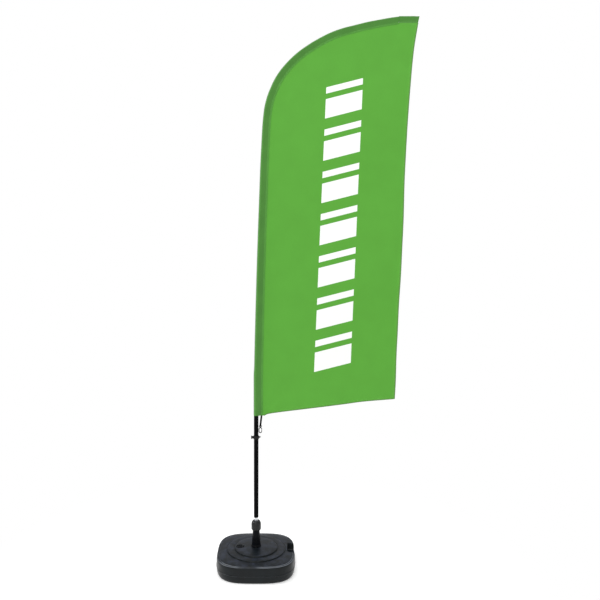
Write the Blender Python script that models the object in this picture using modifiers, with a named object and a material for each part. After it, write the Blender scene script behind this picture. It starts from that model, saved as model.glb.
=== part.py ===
"""A wing-shaped beach flag: cloth on a bent mast, spigot with ball bearing, water-filled foot.

Metres, +Z up. The origin is the middle of the foot's underside, on the spigot's axis.
The cloth lies in the XZ plane and runs from the mast towards +X.
"""
import math

import bmesh
import bpy
from mathutils import Matrix, Vector

MM = 0.001
GAP = 0.3 * MM

# --- water-filled foot -------------------------------------------------------------------
FOOT_HALF_X = 216 * MM
FOOT_HALF_Y = 213 * MM
FOOT_SQUARENESS = 3.3
FOOT_WALL = 3 * MM
FOOT_RIM_Z = 87 * MM
FOOT_SEAM_Z = 41 * MM
PARTING_REACH = 0.5
FOOT_SEGMENTS = 40
OUTER_STEP_R = 162 * MM
OUTER_STEP_Z = 93.5 * MM
INNER_STEP_R = 119 * MM
INNER_STEP_Z = 99.5 * MM
STEP_RISE = 3.5 * MM
CROWN_Z = 108 * MM
WELL_R = 20.5 * MM
WELL_FLOOR_Z = 48 * MM

FILLER_X = -90 * MM
FILLER_RECESS_R = 21.5 * MM
FILLER_RECESS_Z = 97.5 * MM
FILLER_HOLE_R = 15 * MM
FILLER_DRILL_Z = 72.5 * MM
FILLER_CUT_Z = 130 * MM
FILLER_BOSS_Z = 87.5 * MM
FILLER_STEPS = 28

GRIP_LOW = Vector((174 * MM, -37 * MM, 49 * MM))
GRIP_HIGH = Vector((236 * MM, 77 * MM, 130 * MM))
GRIP_ROUND = 9 * MM

# --- neck, clamp nut and spigot ----------------------------------------------------------
NECK_SHOULDER_R = 18.4 * MM
NECK_SHOULDER_Z = 214.5 * MM
NECK_TOP_Z = 247.5 * MM
NECK_THREAD_R = 15 * MM
NECK_BORE_R = 11.8 * MM
NECK_BORE_FLOOR_Z = 62 * MM
NUT_R = 26.2 * MM
NUT_BOTTOM_Z = 199.5 * MM
NUT_SKIRT_BORE_R = 20.2 * MM
NUT_TOP_Z = 253.5 * MM
NUT_HOLE_R = 11.2 * MM
NUT_LOBES = 8
POST_R = 9 * MM
AXLE_R = 4 * MM
AXLE_TOP_Z = 419.5 * MM
SPIGOT_R = 10 * MM
SPIGOT_BORE_R = 8.1 * MM
SPIGOT_LOW_Z = 256.5 * MM
SPIGOT_TOP_Z = 429.5 * MM
BEARING_Z = 261 * MM
BEARING_HALF = 2.5 * MM
BALL_PITCH_R = 6 * MM
BALL_R = 0.92 * MM
BALL_COUNT = 7
BUSH_LOW_Z = 404.5 * MM
BUSH_TOP_Z = 411.5 * MM

# --- mast --------------------------------------------------------------------------------
POLE_R = 12.5 * MM
POLE_BORE_R = 10.3 * MM
POLE_LOW_Z = 270 * MM
POLE_TOP_Z = 1050 * MM
MAST_POINTS = (
    (0.0, 0.270), (0.0, 0.660), (0.0, 1.000), (0.0, 1.070), (0.0050, 1.330), (0.0150, 1.720),
    (0.0262, 2.060), (0.0368, 2.340), (0.0528, 2.568), (0.0834, 2.680), (0.1442, 2.791),
    (0.2555, 2.902), (0.4255, 3.0015), (0.577, 3.0474), (0.700, 3.0740), (0.801, 3.0900),
    (0.885, 3.0930),
)
MID_TUBE_R = 10 * MM
MID_TUBE_BORE_R = 7.8 * MM
MID_TUBE_SPAN = (0.660, 1.360)
UPPER_ROD_R = (7.4 * MM, 5.8 * MM)
UPPER_ROD_SPAN = (1.240, 2.640)
TIP_ROD_R = (5.0 * MM, 3.6 * MM)
TIP_ROD_END = 3.362

# --- cloth -------------------------------------------------------------------------------
CLOTH = 0.8 * MM
SLEEVE_WALL = 0.7 * MM
SLEEVE_LOW_Z = 843 * MM
SLEEVE_LOW_R = 13.9 * MM
SLEEVE_R = (12.4 * MM, 7.4 * MM)
SLEEVE_WAIST_Z = (1072 * MM, 1130 * MM)
SLEEVE_ARC_STEPS = 14
SEAM_OFFSET = (31 * MM, 27 * MM)
SLEEVE_END_X = 806 * MM
POCKET_END_X = 923 * MM
POCKET_TOP_Z = 3100 * MM
POCKET_LOW_Z = 3063.5 * MM
TRAILING_EDGE = (
    (0.7814, 0.9372), (0.7932, 1.214), (0.8088, 1.4965), (0.8205, 1.7225), (0.8348, 2.0615),
    (0.8465, 2.344), (0.8562, 2.5135), (0.8672, 2.683), (0.8866, 2.875), (0.8950, 2.943),
    (0.9150, 3.0630),
)
BOTTOM_EDGE = ((0.0320, 0.8480), (0.174, 0.8740), (0.321, 0.8920), (0.580, 0.9240), (0.7814, 0.9372))

# --- tension strap, snap hook and collar ---------------------------------------------------
HOOK_X = 23.7 * MM
STRAP_WIDTH = 10.5 * MM
STRAP_LAYER = 1.2 * MM
STRAP_TOP_Z = 842.5 * MM
STRAP_LEAN = 6.5 * MM
EYE_BAR_Z = 785.5 * MM
EYE_HALF = 7.1 * MM
EYE_WIRE_R = 1.1 * MM
EYE_BOSS_Z = (777.5 * MM, 780.0 * MM)
HOOK_WIRE_R = 1.4 * MM
HOOK_HALF = 7.35 * MM
HOOK_TOP_Z = 775.8 * MM
HOOK_LOW_Z = 747.0 * MM
GATE_PIVOT_Z = 756.4 * MM
COLLAR_Z = 721 * MM
COLLAR_HALF = 8.8 * MM
COLLAR_R = 16.5 * MM
COLLAR_BORE_R = 12.8 * MM
SCREW_HOLE_R = 3.0 * MM
SCREW_HEAD_R = 8.5 * MM

for old in list(bpy.data.objects):
    bpy.data.objects.remove(old, do_unlink=True)


def collection(name):
    group = bpy.data.collections.new(name)
    bpy.context.scene.collection.children.link(group)
    return group


FLAG = collection("wing_beach_flag")
CUTTERS = collection("cutters")


def finish(name, colour, roughness, metallic=0.0):
    """A plain Principled material in one colour."""
    material = bpy.data.materials.new(name)
    material.use_nodes = True
    shader = material.node_tree.nodes["Principled BSDF"]
    shader.inputs["Base Color"].default_value = (*colour, 1.0)
    shader.inputs["Roughness"].default_value = roughness
    shader.inputs["Metallic"].default_value = metallic
    return material


TANK_PLASTIC = finish("tank_plastic", (0.035, 0.040, 0.045), 0.45)
NECK_PLASTIC = finish("neck_plastic", (0.012, 0.014, 0.022), 0.30)
NUT_PLASTIC = finish("nut_plastic", (0.050, 0.052, 0.054), 0.50)
NYLON = finish("white_nylon", (0.72, 0.71, 0.68), 0.45)
RUBBER = finish("black_rubber", (0.015, 0.015, 0.015), 0.80)
STEEL = finish("zinc_steel", (0.62, 0.63, 0.65), 0.28, 1.0)
BEARING_STEEL = finish("bearing_steel", (0.70, 0.70, 0.72), 0.15, 1.0)
BRASS = finish("brass", (0.72, 0.52, 0.22), 0.35, 1.0)
BLACK_TUBE = finish("black_anodised", (0.008, 0.008, 0.009), 0.35, 0.6)
GLASS_FIBRE = finish("glass_fibre", (0.020, 0.020, 0.022), 0.30)
CLOTH_GREEN = finish("green_cloth", (0.110, 0.400, 0.055), 0.80)
SLEEVE_GREEN = finish("sleeve_green", (0.070, 0.280, 0.040), 0.80)
WEBBING = finish("black_webbing", (0.010, 0.010, 0.010), 0.85)
DARK_STEEL = finish("dark_steel", (0.10, 0.10, 0.11), 0.35, 1.0)


def add_part(name, mesh, material):
    """Put a mesh into the flag's collection as one named sub-part."""
    part = bpy.data.objects.new(name, mesh)
    mesh.materials.append(material)
    FLAG.objects.link(part)
    return part


def add_cutter(name, mesh):
    """Put a mesh into the cutters' collection, where it is only a tool."""
    cutter = bpy.data.objects.new(name, mesh)
    cutter.hide_render = True
    cutter.display_type = "WIRE"
    CUTTERS.objects.link(cutter)
    return cutter


def smooth(mesh, angle=35):
    mesh.shade_smooth()
    mesh.set_sharp_from_angle(angle=math.radians(angle))


def turn(part, steps):
    """Turn the profile that the mesh holds once round Z."""
    screw = part.modifiers.new("Turn", "SCREW")
    screw.axis = "Z"
    screw.steps = steps
    screw.render_steps = steps
    screw.use_merge_vertices = True
    screw.merge_threshold = 0.00002
    screw.use_smooth_shade = True


def profile_mesh(name, profile, ring):
    """A profile at +X that runs down its outer side; a ring's profile closes on itself."""
    mesh = bpy.data.meshes.new(name)
    edges = [(i, i + 1) for i in range(len(profile) - 1)]
    if ring:
        edges.append((len(profile) - 1, 0))
    mesh.from_pydata([(radius, 0.0, height) for radius, height in profile], edges, [])
    return mesh


def turned(name, profile, material, steps=24, ring=False, place=(0.0, 0.0, 0.0), along=None):
    """A turned piece round its own Z, moved to place and tipped so that Z runs along a vector."""
    part = add_part(name, profile_mesh(name, profile, ring), material)
    turn(part, steps)
    set_pose(part, place, along)
    return part


def turned_cutter(name, profile, steps=24, place=(0.0, 0.0, 0.0), along=None):
    cutter = add_cutter(name, profile_mesh(name, profile, False))
    turn(cutter, steps)
    set_pose(cutter, place, along)
    return cutter


def set_pose(thing, place, along):
    thing.location = place
    if along is not None:
        thing.rotation_euler = Vector(along).to_track_quat("Z", "Y").to_euler()


def washer(inner, outer, low, high):
    """The profile of a plain ring."""
    return [(inner, high), (outer, high), (outer, low), (inner, low)]


def disc(radius, low, high):
    """The profile of a plain solid cylinder."""
    return [(0.0, high), (radius, high), (radius, low), (0.0, low)]


def box_mesh(name, low, high, rounding=0.0, segments=3):
    """A box between two corners, with its edges rounded."""
    shape = bmesh.new()
    low = Vector(low)
    high = Vector(high)
    size = high - low
    matrix = Matrix.Translation((low + high) / 2) @ Matrix.Diagonal((*size, 1.0))
    bmesh.ops.create_cube(shape, size=1.0, matrix=matrix)
    if rounding:
        bmesh.ops.bevel(shape, geom=list(shape.edges), offset=rounding, segments=segments,
                        profile=0.5, affect="EDGES")
    mesh = bpy.data.meshes.new(name)
    shape.to_mesh(mesh)
    shape.free()
    return mesh


def apply_boolean(part, tool, operation):
    step = part.modifiers.new(operation.title() + "_" + tool.name, "BOOLEAN")
    step.operation = operation
    step.solver = "EXACT"
    step.object = tool


def cut(part, tool):
    apply_boolean(part, tool, "DIFFERENCE")


def join(part, tool):
    apply_boolean(part, tool, "UNION")


def loft_mesh(name, rings):
    """Faces between rings of equal point count, closed at both ends."""
    shape = bmesh.new()
    rows = [[shape.verts.new(point) for point in ring] for ring in rings]
    count = len(rings[0])
    for row, following in zip(rows, rows[1:]):
        for i in range(count):
            j = (i + 1) % count
            shape.faces.new((row[i], row[j], following[j], following[i]))
    shape.faces.new(rows[0])
    shape.faces.new(rows[-1])
    bmesh.ops.recalc_face_normals(shape, faces=list(shape.faces))
    mesh = bpy.data.meshes.new(name)
    shape.to_mesh(mesh)
    shape.free()
    smooth(mesh)
    return mesh


def hollow_loft_mesh(name, outer_rings, inner_rings):
    """A tube of cloth: outer and inner skins that meet at both open ends."""
    shape = bmesh.new()
    outer = [[shape.verts.new(point) for point in ring] for ring in outer_rings]
    inner = [[shape.verts.new(point) for point in ring] for ring in inner_rings]
    count = len(outer_rings[0])
    for skin in (outer, inner):
        for row, following in zip(skin, skin[1:]):
            for i in range(count):
                j = (i + 1) % count
                shape.faces.new((row[i], row[j], following[j], following[i]))
    for end in (0, -1):
        for i in range(count):
            j = (i + 1) % count
            shape.faces.new((outer[end][i], outer[end][j], inner[end][j], inner[end][i]))
    bmesh.ops.recalc_face_normals(shape, faces=list(shape.faces))
    mesh = bpy.data.meshes.new(name)
    shape.to_mesh(mesh)
    shape.free()
    smooth(mesh)
    return mesh


def mesh_from_curve(name, curve_object):
    """Turn a filled curve into a welded mesh and drop the curve."""
    bpy.context.view_layer.update()
    graph = bpy.context.evaluated_depsgraph_get()
    mesh = bpy.data.meshes.new_from_object(curve_object.evaluated_get(graph))
    mesh.name = name
    shape = bmesh.new()
    shape.from_mesh(mesh)
    bmesh.ops.remove_doubles(shape, verts=list(shape.verts), dist=0.00001)
    bmesh.ops.recalc_face_normals(shape, faces=list(shape.faces))
    shape.to_mesh(mesh)
    shape.free()
    matrix = curve_object.matrix_world.copy()
    bpy.data.objects.remove(curve_object, do_unlink=True)
    mesh.transform(matrix)
    mesh.materials.clear()
    return mesh


def wire_mesh(name, points, radii, resolution=2, cyclic=False):
    """A round wire, rod or tube core through points, each with its own radius."""
    curve = bpy.data.curves.new(name, "CURVE")
    curve.dimensions = "3D"
    curve.bevel_depth = 1.0
    curve.bevel_resolution = resolution
    curve.use_fill_caps = not cyclic
    spline = curve.splines.new("POLY")
    spline.points.add(len(points) - 1)
    for knot, point, radius in zip(spline.points, points, radii):
        knot.co = (*point, 1.0)
        knot.radius = radius
    spline.use_cyclic_u = cyclic
    holder = bpy.data.objects.new(name + "_path", curve)
    bpy.context.scene.collection.objects.link(holder)
    mesh = mesh_from_curve(name, holder)
    smooth(mesh)
    return mesh


def flat_mesh(name, outlines, thickness):
    """A flat plate in the XZ plane from closed outlines, the first outside, the rest holes."""
    curve = bpy.data.curves.new(name, "CURVE")
    curve.dimensions = "2D"
    curve.fill_mode = "BOTH"
    curve.extrude = thickness / 2
    for outline in outlines:
        spline = curve.splines.new("POLY")
        spline.points.add(len(outline) - 1)
        for knot, (across, up) in zip(spline.points, outline):
            knot.co = (across, up, 0.0, 1.0)
        spline.use_cyclic_u = True
    holder = bpy.data.objects.new(name + "_outline", curve)
    holder.rotation_euler = (math.radians(90), 0.0, 0.0)
    bpy.context.scene.collection.objects.link(holder)
    return mesh_from_curve(name, holder)


def smooth_line(points, per_span):
    """A Catmull-Rom line through 2D points, with the end tangents kept along the end spans."""
    knots = [Vector(point) for point in points]
    knots.insert(0, knots[0] * 2 - knots[1])
    knots.append(knots[-1] * 2 - knots[-2])
    line = []
    for i in range(1, len(knots) - 2):
        before, start, stop, after = knots[i - 1:i + 3]
        reach = (stop - start).length
        leave = (stop - before) * (reach / max((stop - start).length + (start - before).length, 1e-9))
        arrive = (after - start) * (reach / max((after - stop).length + reach, 1e-9))
        for step in range(per_span):
            t = step / per_span
            line.append(start * (2 * t**3 - 3 * t**2 + 1) + leave * (t**3 - 2 * t**2 + t)
                        + stop * (3 * t**2 - 2 * t**3) + arrive * (t**3 - t**2))
    line.append(knots[-2].copy())
    return line


class Path:
    """The mast's centre line in the XZ plane, measured by the length along it."""

    def __init__(self, points):
        self.line = smooth_line(points, 24)
        self.marks = [0.0]
        for start, stop in zip(self.line, self.line[1:]):
            self.marks.append(self.marks[-1] + (stop - start).length)
        self.length = self.marks[-1]

    def at(self, distance):
        for i in range(1, len(self.marks)):
            if self.marks[i] >= distance:
                break
        share = (distance - self.marks[i - 1]) / (self.marks[i] - self.marks[i - 1])
        return self.line[i - 1].lerp(self.line[i], share)

    def inward(self, distance):
        """The unit vector from the mast towards the cloth."""
        low = self.at(max(distance - 0.01, 0.0))
        high = self.at(min(distance + 0.01, self.length))
        along = (high - low).normalized()
        return Vector((along.y, -along.x))

    def distance_at(self, test):
        """The first distance where a test of the point holds."""
        for mark, point in zip(self.marks, self.line):
            if test(point):
                return mark
        return self.length


MAST = Path(MAST_POINTS)


def stations(low, high, straight_step=0.15, bend_step=0.040, bend_start=2.12, bend_stop=2.75):
    """Distances along the mast, close together where it bends hard."""
    places = [low]
    while places[-1] < high - 1e-6:
        here = places[-1]
        step = straight_step
        if bend_start - straight_step < here < bend_stop:
            step = bend_step
        elif here >= bend_stop:
            step = bend_step * 1.8
        places.append(min(here + step, high))
    if len(places) > 2 and places[-1] - places[-2] < 0.012:
        del places[-2]
    return places


def rod_mesh(name, low, high, radius_low, radius_high, resolution=3):
    """A solid rod along the mast, tapering from one radius to another."""
    places = stations(low, high)
    points = []
    radii = []
    for place in places:
        spot = MAST.at(place)
        share = (place - low) / (high - low)
        points.append((spot.x, 0.0, spot.y))
        radii.append(radius_low + (radius_high - radius_low) * share)
    return wire_mesh(name, points, radii, resolution)


# --- foot ------------------------------------------------------------------------------------
def rounded_square(half_x, half_y, squareness, height):
    """A ring of points on a superellipse; squareness 2 is a true ellipse."""
    ring = []
    for i in range(FOOT_SEGMENTS):
        angle = math.tau * (i + 0.5) / FOOT_SEGMENTS
        reach = (abs(math.cos(angle) / half_x) ** squareness
                 + abs(math.sin(angle) / half_y) ** squareness) ** (-1 / squareness)
        ring.append((reach * math.cos(angle), reach * math.sin(angle), height))
    return ring


def circle(radius, height):
    return rounded_square(radius, radius, 2.0, height)


def foot_ring(inset, height):
    return rounded_square(FOOT_HALF_X - inset, FOOT_HALF_Y - inset, FOOT_SQUARENESS, height)


def tank_cutters():
    """What both tank shells lose: the hollow, the hand grip and the stepped filler hole."""
    wall = FOOT_WALL
    hollow_rings = [
        foot_ring(24 * MM, wall),
        foot_ring(9 * MM, wall + 8 * MM),
        foot_ring(4.2 * MM, 26 * MM),
        foot_ring(3.5 * MM, FOOT_RIM_Z - 15 * MM),
        foot_ring(9 * MM, FOOT_RIM_Z - 4.5 * MM),
        foot_ring(16 * MM, FOOT_RIM_Z - 2.2 * MM),
        circle(OUTER_STEP_R - 4.5 * MM, OUTER_STEP_Z - wall + 0.6 * MM),
        circle(INNER_STEP_R - 4.5 * MM, INNER_STEP_Z - wall + 0.6 * MM),
        circle(60 * MM, CROWN_Z - wall - 3.0 * MM),
        circle(WELL_R + wall, CROWN_Z - wall - 1.5 * MM),
        circle(WELL_R + wall, WELL_FLOOR_Z - wall),
    ]
    hollow = add_cutter("tank_hollow", loft_mesh("tank_hollow", hollow_rings))
    reach = Vector((wall, wall, wall))
    grip_wall = add_cutter("grip_wall", box_mesh("grip_wall", GRIP_LOW - reach, GRIP_HIGH + reach,
                                                 GRIP_ROUND + wall))
    place = (FILLER_X, 0.0, 0.0)
    boss = turned_cutter("filler_boss", disc(FILLER_RECESS_R + wall, FILLER_BOSS_Z, FILLER_CUT_Z),
                         steps=FILLER_STEPS, place=place)
    cut(hollow, grip_wall)
    cut(hollow, boss)

    grip = add_cutter("grip_pocket", box_mesh("grip_pocket", GRIP_LOW, GRIP_HIGH, GRIP_ROUND))
    stepped = [
        (0.0, FILLER_CUT_Z), (FILLER_RECESS_R, FILLER_CUT_Z), (FILLER_RECESS_R, FILLER_RECESS_Z),
        (FILLER_HOLE_R, FILLER_RECESS_Z), (FILLER_HOLE_R, FILLER_DRILL_Z), (0.0, FILLER_DRILL_Z),
    ]
    mouth = turned_cutter("filler_mouth", stepped, steps=FILLER_STEPS, place=place)
    return hollow, grip, mouth


def make_tank():
    """The tank's two shells, welded at a flange: neck well, filler and hand grip in the upper."""
    rings = [
        foot_ring(20 * MM, 0.0),
        foot_ring(10 * MM, 3 * MM),
        foot_ring(4 * MM, 10 * MM),
        foot_ring(1.2 * MM, 24 * MM),
        foot_ring(0.6 * MM, FOOT_SEAM_Z - 2.4 * MM),
        foot_ring(-1.2 * MM, FOOT_SEAM_Z - 0.9 * MM),
        foot_ring(-1.2 * MM, FOOT_SEAM_Z + 0.9 * MM),
        foot_ring(0.4 * MM, FOOT_SEAM_Z + 2.4 * MM),
        foot_ring(0.3 * MM, FOOT_RIM_Z - 14 * MM),
        foot_ring(1.6 * MM, FOOT_RIM_Z - 5 * MM),
        foot_ring(5.0 * MM, FOOT_RIM_Z - 1.0 * MM),
        foot_ring(11.0 * MM, FOOT_RIM_Z + 1.2 * MM),
        circle(OUTER_STEP_R + 6 * MM, OUTER_STEP_Z - 0.8 * MM),
        circle(OUTER_STEP_R + 1.2 * MM, OUTER_STEP_Z),
        circle(OUTER_STEP_R - 1.2 * MM, OUTER_STEP_Z + STEP_RISE),
        circle(INNER_STEP_R + 1.2 * MM, INNER_STEP_Z),
        circle(INNER_STEP_R - 1.2 * MM, INNER_STEP_Z + STEP_RISE),
        circle(70 * MM, CROWN_Z - 2.0 * MM),
        circle(30 * MM, CROWN_Z),
        circle(WELL_R, CROWN_Z),
        circle(WELL_R, WELL_FLOOR_Z),
    ]
    joint = 0.5 * GAP
    spans = {
        "tank_lower_shell": (FOOT_SEAM_Z - joint, PARTING_REACH),
        "tank_upper_shell": (-PARTING_REACH, FOOT_SEAM_Z + joint),
    }
    tools = tank_cutters()
    for name, (low, high) in spans.items():
        shell = add_part(name, loft_mesh(name, rings), TANK_PLASTIC)
        for tool in tools:
            cut(shell, tool)
        parting = box_mesh(name + "_parting", (-PARTING_REACH, -PARTING_REACH, low),
                           (PARTING_REACH, PARTING_REACH, high))
        cut(shell, add_cutter(name + "_parting", parting))


def make_filler_cap():
    """A screw cap with two finger hollows beside a bar, over its flat gasket."""
    place = (FILLER_X, 0.0, FILLER_RECESS_Z)
    gasket = washer(15.3 * MM, 19.0 * MM, GAP, 2.0 * MM)
    turned("cap_gasket", gasket, RUBBER, ring=True, place=place)
    skirt_r = FILLER_HOLE_R - 0.6 * MM
    profile = [
        (0.0, 6.6 * MM), (18.0 * MM, 6.6 * MM), (19.6 * MM, 5.2 * MM), (19.6 * MM, 2.3 * MM),
        (skirt_r, 2.3 * MM), (skirt_r, -9.0 * MM), (12.0 * MM, -9.0 * MM), (12.0 * MM, 1.0 * MM),
        (0.0, 1.0 * MM),
    ]
    cap = turned("filler_cap", profile, NECK_PLASTIC, steps=28, place=place)
    for side in (-1, 1):
        low = Vector((FILLER_X - 11 * MM, 3.0 * MM, FILLER_RECESS_Z + 3.0 * MM))
        high = Vector((FILLER_X + 11 * MM, 12.0 * MM, FILLER_RECESS_Z + 12.0 * MM))
        mesh = box_mesh("finger_hollow", low, high, 1.8 * MM, 2)
        if side < 0:
            mesh.transform(Matrix.Rotation(math.pi, 4, "Z"))
            mesh.transform(Matrix.Translation((2 * FILLER_X, 0.0, 0.0)))
        cut(cap, add_cutter("finger_hollow_" + ("near" if side < 0 else "far"), mesh))


# --- neck and clamp ----------------------------------------------------------------------------
def make_neck():
    flange_z = CROWN_Z + GAP
    groove = (22.4 * MM, 25.6 * MM, flange_z + 2.6 * MM)
    profile = [
        (0.0, NECK_BORE_FLOOR_Z), (NECK_BORE_R, NECK_BORE_FLOOR_Z), (NECK_BORE_R, NECK_TOP_Z),
        (NECK_THREAD_R - 0.8 * MM, NECK_TOP_Z), (NECK_THREAD_R, NECK_TOP_Z - 1.0 * MM),
        (NECK_THREAD_R, NECK_SHOULDER_Z), (NECK_SHOULDER_R, NECK_SHOULDER_Z - 0.4 * MM),
        (19.3 * MM, 0.194), (20.5 * MM, 0.183), (21.9 * MM, 0.169), (23.0 * MM, 0.143),
        (24.6 * MM, 0.123), (26.0 * MM, 0.1155), (27.6 * MM, 0.1112), (28.0 * MM, flange_z),
        (groove[1], flange_z),
        (groove[1], groove[2]), (groove[0], groove[2]), (groove[0], flange_z),
        (WELL_R - GAP, flange_z), (WELL_R - GAP, WELL_FLOOR_Z + GAP), (0.0, WELL_FLOOR_Z + GAP),
    ]
    turned("neck_tube", profile, NECK_PLASTIC, steps=24)

    ring_r = 1.1 * MM
    ring_z = flange_z + ring_r
    section = []
    for i in range(6):
        angle = -math.tau * i / 6
        section.append((24.0 * MM + ring_r * math.cos(angle), ring_z + ring_r * math.sin(angle)))
    turned("neck_oring", section, RUBBER, ring=True)


def make_clamp():
    """Split collet, thrust ring and the lobed nut that squeezes them on the post."""
    head_low = NECK_TOP_Z + GAP
    head_high = head_low + 1.7 * MM
    bore = POST_R + GAP
    collet = [
        (bore, head_high), (11.6 * MM, head_high), (14.0 * MM, head_low + 0.6 * MM),
        (14.0 * MM, head_low), (NECK_BORE_R - GAP, head_low), (NECK_BORE_R - GAP, 0.2085),
        (bore, 0.2085),
    ]
    part = turned("split_collet", collet, NYLON, ring=True)
    slit = box_mesh("collet_slit", (6 * MM, -0.8 * MM, 0.20), (16 * MM, 0.8 * MM, 0.26))
    cut(part, add_cutter("collet_slit", slit))

    ring_low = head_high + GAP
    turned("thrust_ring", washer(NUT_HOLE_R, 14.4 * MM, ring_low, ring_low + 1.5 * MM), STEEL,
           ring=True)

    ceiling = ring_low + 1.8 * MM
    thread = NECK_THREAD_R + GAP
    nut = [
        (NUT_HOLE_R, NUT_TOP_Z), (15.0 * MM, NUT_TOP_Z), (20.3 * MM, NUT_TOP_Z - 2.9 * MM),
        (NUT_R - 3.0 * MM, NUT_TOP_Z - 8.5 * MM), (NUT_R - 0.9 * MM, NUT_TOP_Z - 14.0 * MM),
        (NUT_R, NUT_TOP_Z - 20.0 * MM), (NUT_R, NUT_BOTTOM_Z + 6.5 * MM),
        (NUT_R - 4.0 * MM, NUT_BOTTOM_Z), (NUT_SKIRT_BORE_R, NUT_BOTTOM_Z),
        (NUT_SKIRT_BORE_R, NECK_SHOULDER_Z + 1.0 * MM), (thread, NECK_SHOULDER_Z + 1.0 * MM),
        (thread, ceiling), (NUT_HOLE_R, ceiling),
    ]
    part = turned("clamp_nut", nut, NUT_PLASTIC, steps=32, ring=True)
    for i in range(NUT_LOBES):
        angle = math.tau * (i + 0.5) / NUT_LOBES
        reach = NUT_R + 1.5 * MM
        tool = turned_cutter("nut_flute_%d" % (i + 1), disc(4.2 * MM, -0.04, 0.04), steps=10,
                             place=(reach * math.cos(angle), reach * math.sin(angle), 0.2265))
        cut(part, tool)


# --- spigot and bearing -----------------------------------------------------------------------
def make_post():
    """The fixed steel post, stepped down to the axle that the spigot turns on."""
    land = BEARING_Z - BEARING_HALF - GAP
    groove_low = BUSH_TOP_Z + 1.5 * MM
    profile = [
        (0.0, AXLE_TOP_Z), (AXLE_R - 0.6 * MM, AXLE_TOP_Z), (AXLE_R, AXLE_TOP_Z - 0.6 * MM),
        (AXLE_R, groove_low + 1.6 * MM), (3.3 * MM, groove_low + 1.6 * MM),
        (3.3 * MM, groove_low), (AXLE_R, groove_low), (AXLE_R, land), (5.2 * MM, land),
        (5.2 * MM, 0.2550), (POST_R, 0.2512), (POST_R, NECK_BORE_FLOOR_Z + 0.5 * MM),
        (0.0, NECK_BORE_FLOOR_Z + 0.5 * MM),
    ]
    turned("spindle_post", profile, STEEL, steps=20)
    clip = washer(3.6 * MM, 6.2 * MM, groove_low + GAP, groove_low + 1.3 * MM)
    part = turned("circlip", clip, STEEL, ring=True, steps=16)
    opening = box_mesh("circlip_gap", (2.0 * MM, -1.2 * MM, 0.40), (8.0 * MM, 1.2 * MM, 0.43))
    cut(part, add_cutter("circlip_gap", opening))
    turned("thrust_washer", washer(AXLE_R + GAP, 6.4 * MM, BUSH_TOP_Z + GAP, groove_low - GAP),
           STEEL, ring=True, steps=16)


def race(near, shoulder, groove):
    """A bearing race's section: plain on the near side, grooved on the other."""
    low = BEARING_Z - BEARING_HALF
    high = BEARING_Z + BEARING_HALF
    section = [
        (near, high), (shoulder, high), (shoulder, BEARING_Z + 0.8 * MM),
        (groove, BEARING_Z + 0.35 * MM), (groove, BEARING_Z - 0.35 * MM),
        (shoulder, BEARING_Z - 0.8 * MM), (shoulder, low), (near, low),
    ]
    if near > shoulder:
        section.reverse()
    return section


def make_bearing():
    inner = race(AXLE_R + GAP, 5.35 * MM, 5.0 * MM)
    outer = race(SPIGOT_BORE_R - GAP, 6.65 * MM, 7.02 * MM)
    turned("bearing_inner_race", inner, BEARING_STEEL, ring=True, steps=20)
    turned("bearing_outer_race", outer, BEARING_STEEL, ring=True, steps=20)
    cage = turned("ball_cage", washer(5.65 * MM, 6.35 * MM, BEARING_Z + 0.1 * MM,
                                      BEARING_Z + 1.7 * MM), BRASS, ring=True, steps=21)
    for i in range(BALL_COUNT):
        angle = math.tau * i / BALL_COUNT
        place = Vector((math.cos(angle), math.sin(angle), 0.0)) * BALL_PITCH_R
        place.z = BEARING_Z
        shape = bmesh.new()
        bmesh.ops.create_icosphere(shape, subdivisions=2, radius=BALL_R)
        mesh = bpy.data.meshes.new("ball_%d" % (i + 1))
        shape.to_mesh(mesh)
        shape.free()
        mesh.shade_smooth()
        add_part("ball_%d" % (i + 1), mesh, BEARING_STEEL).location = place
        tool = turned_cutter("ball_seat_%d" % (i + 1), disc(1.15 * MM, -2 * MM, 2 * MM), steps=10,
                             place=place, along=(place.x, place.y, 0.0))
        cut(cage, tool)


def make_spigot():
    """The steel sleeve that carries the pole and turns on the axle."""
    waist = 6.4 * MM
    shelf = BEARING_Z + BEARING_HALF + GAP
    profile = [
        (SPIGOT_BORE_R, SPIGOT_TOP_Z), (SPIGOT_R, SPIGOT_TOP_Z), (SPIGOT_R, SPIGOT_LOW_Z + 0.6 * MM),
        (SPIGOT_R - 0.6 * MM, SPIGOT_LOW_Z), (SPIGOT_BORE_R, SPIGOT_LOW_Z),
        (SPIGOT_BORE_R, shelf), (waist, shelf), (waist, BUSH_LOW_Z - GAP),
        (SPIGOT_BORE_R, BUSH_LOW_Z - GAP),
    ]
    turned("spigot_sleeve", profile, STEEL, ring=True, steps=28)
    bush = washer(AXLE_R + GAP, SPIGOT_BORE_R - GAP, BUSH_LOW_Z, BUSH_TOP_Z)
    turned("upper_bush", bush, NYLON, ring=True, steps=20)
    top = SPIGOT_TOP_Z + 3.5 * MM
    plug = [
        (0.0, top), (SPIGOT_R - 1.2 * MM, top), (SPIGOT_R, top - 1.2 * MM),
        (SPIGOT_R, SPIGOT_TOP_Z + GAP), (SPIGOT_BORE_R - GAP, SPIGOT_TOP_Z + GAP),
        (SPIGOT_BORE_R - GAP, SPIGOT_TOP_Z - 8.0 * MM), (0.0, SPIGOT_TOP_Z - 8.0 * MM),
    ]
    turned("spigot_cap", plug, NYLON, steps=24)


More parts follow.
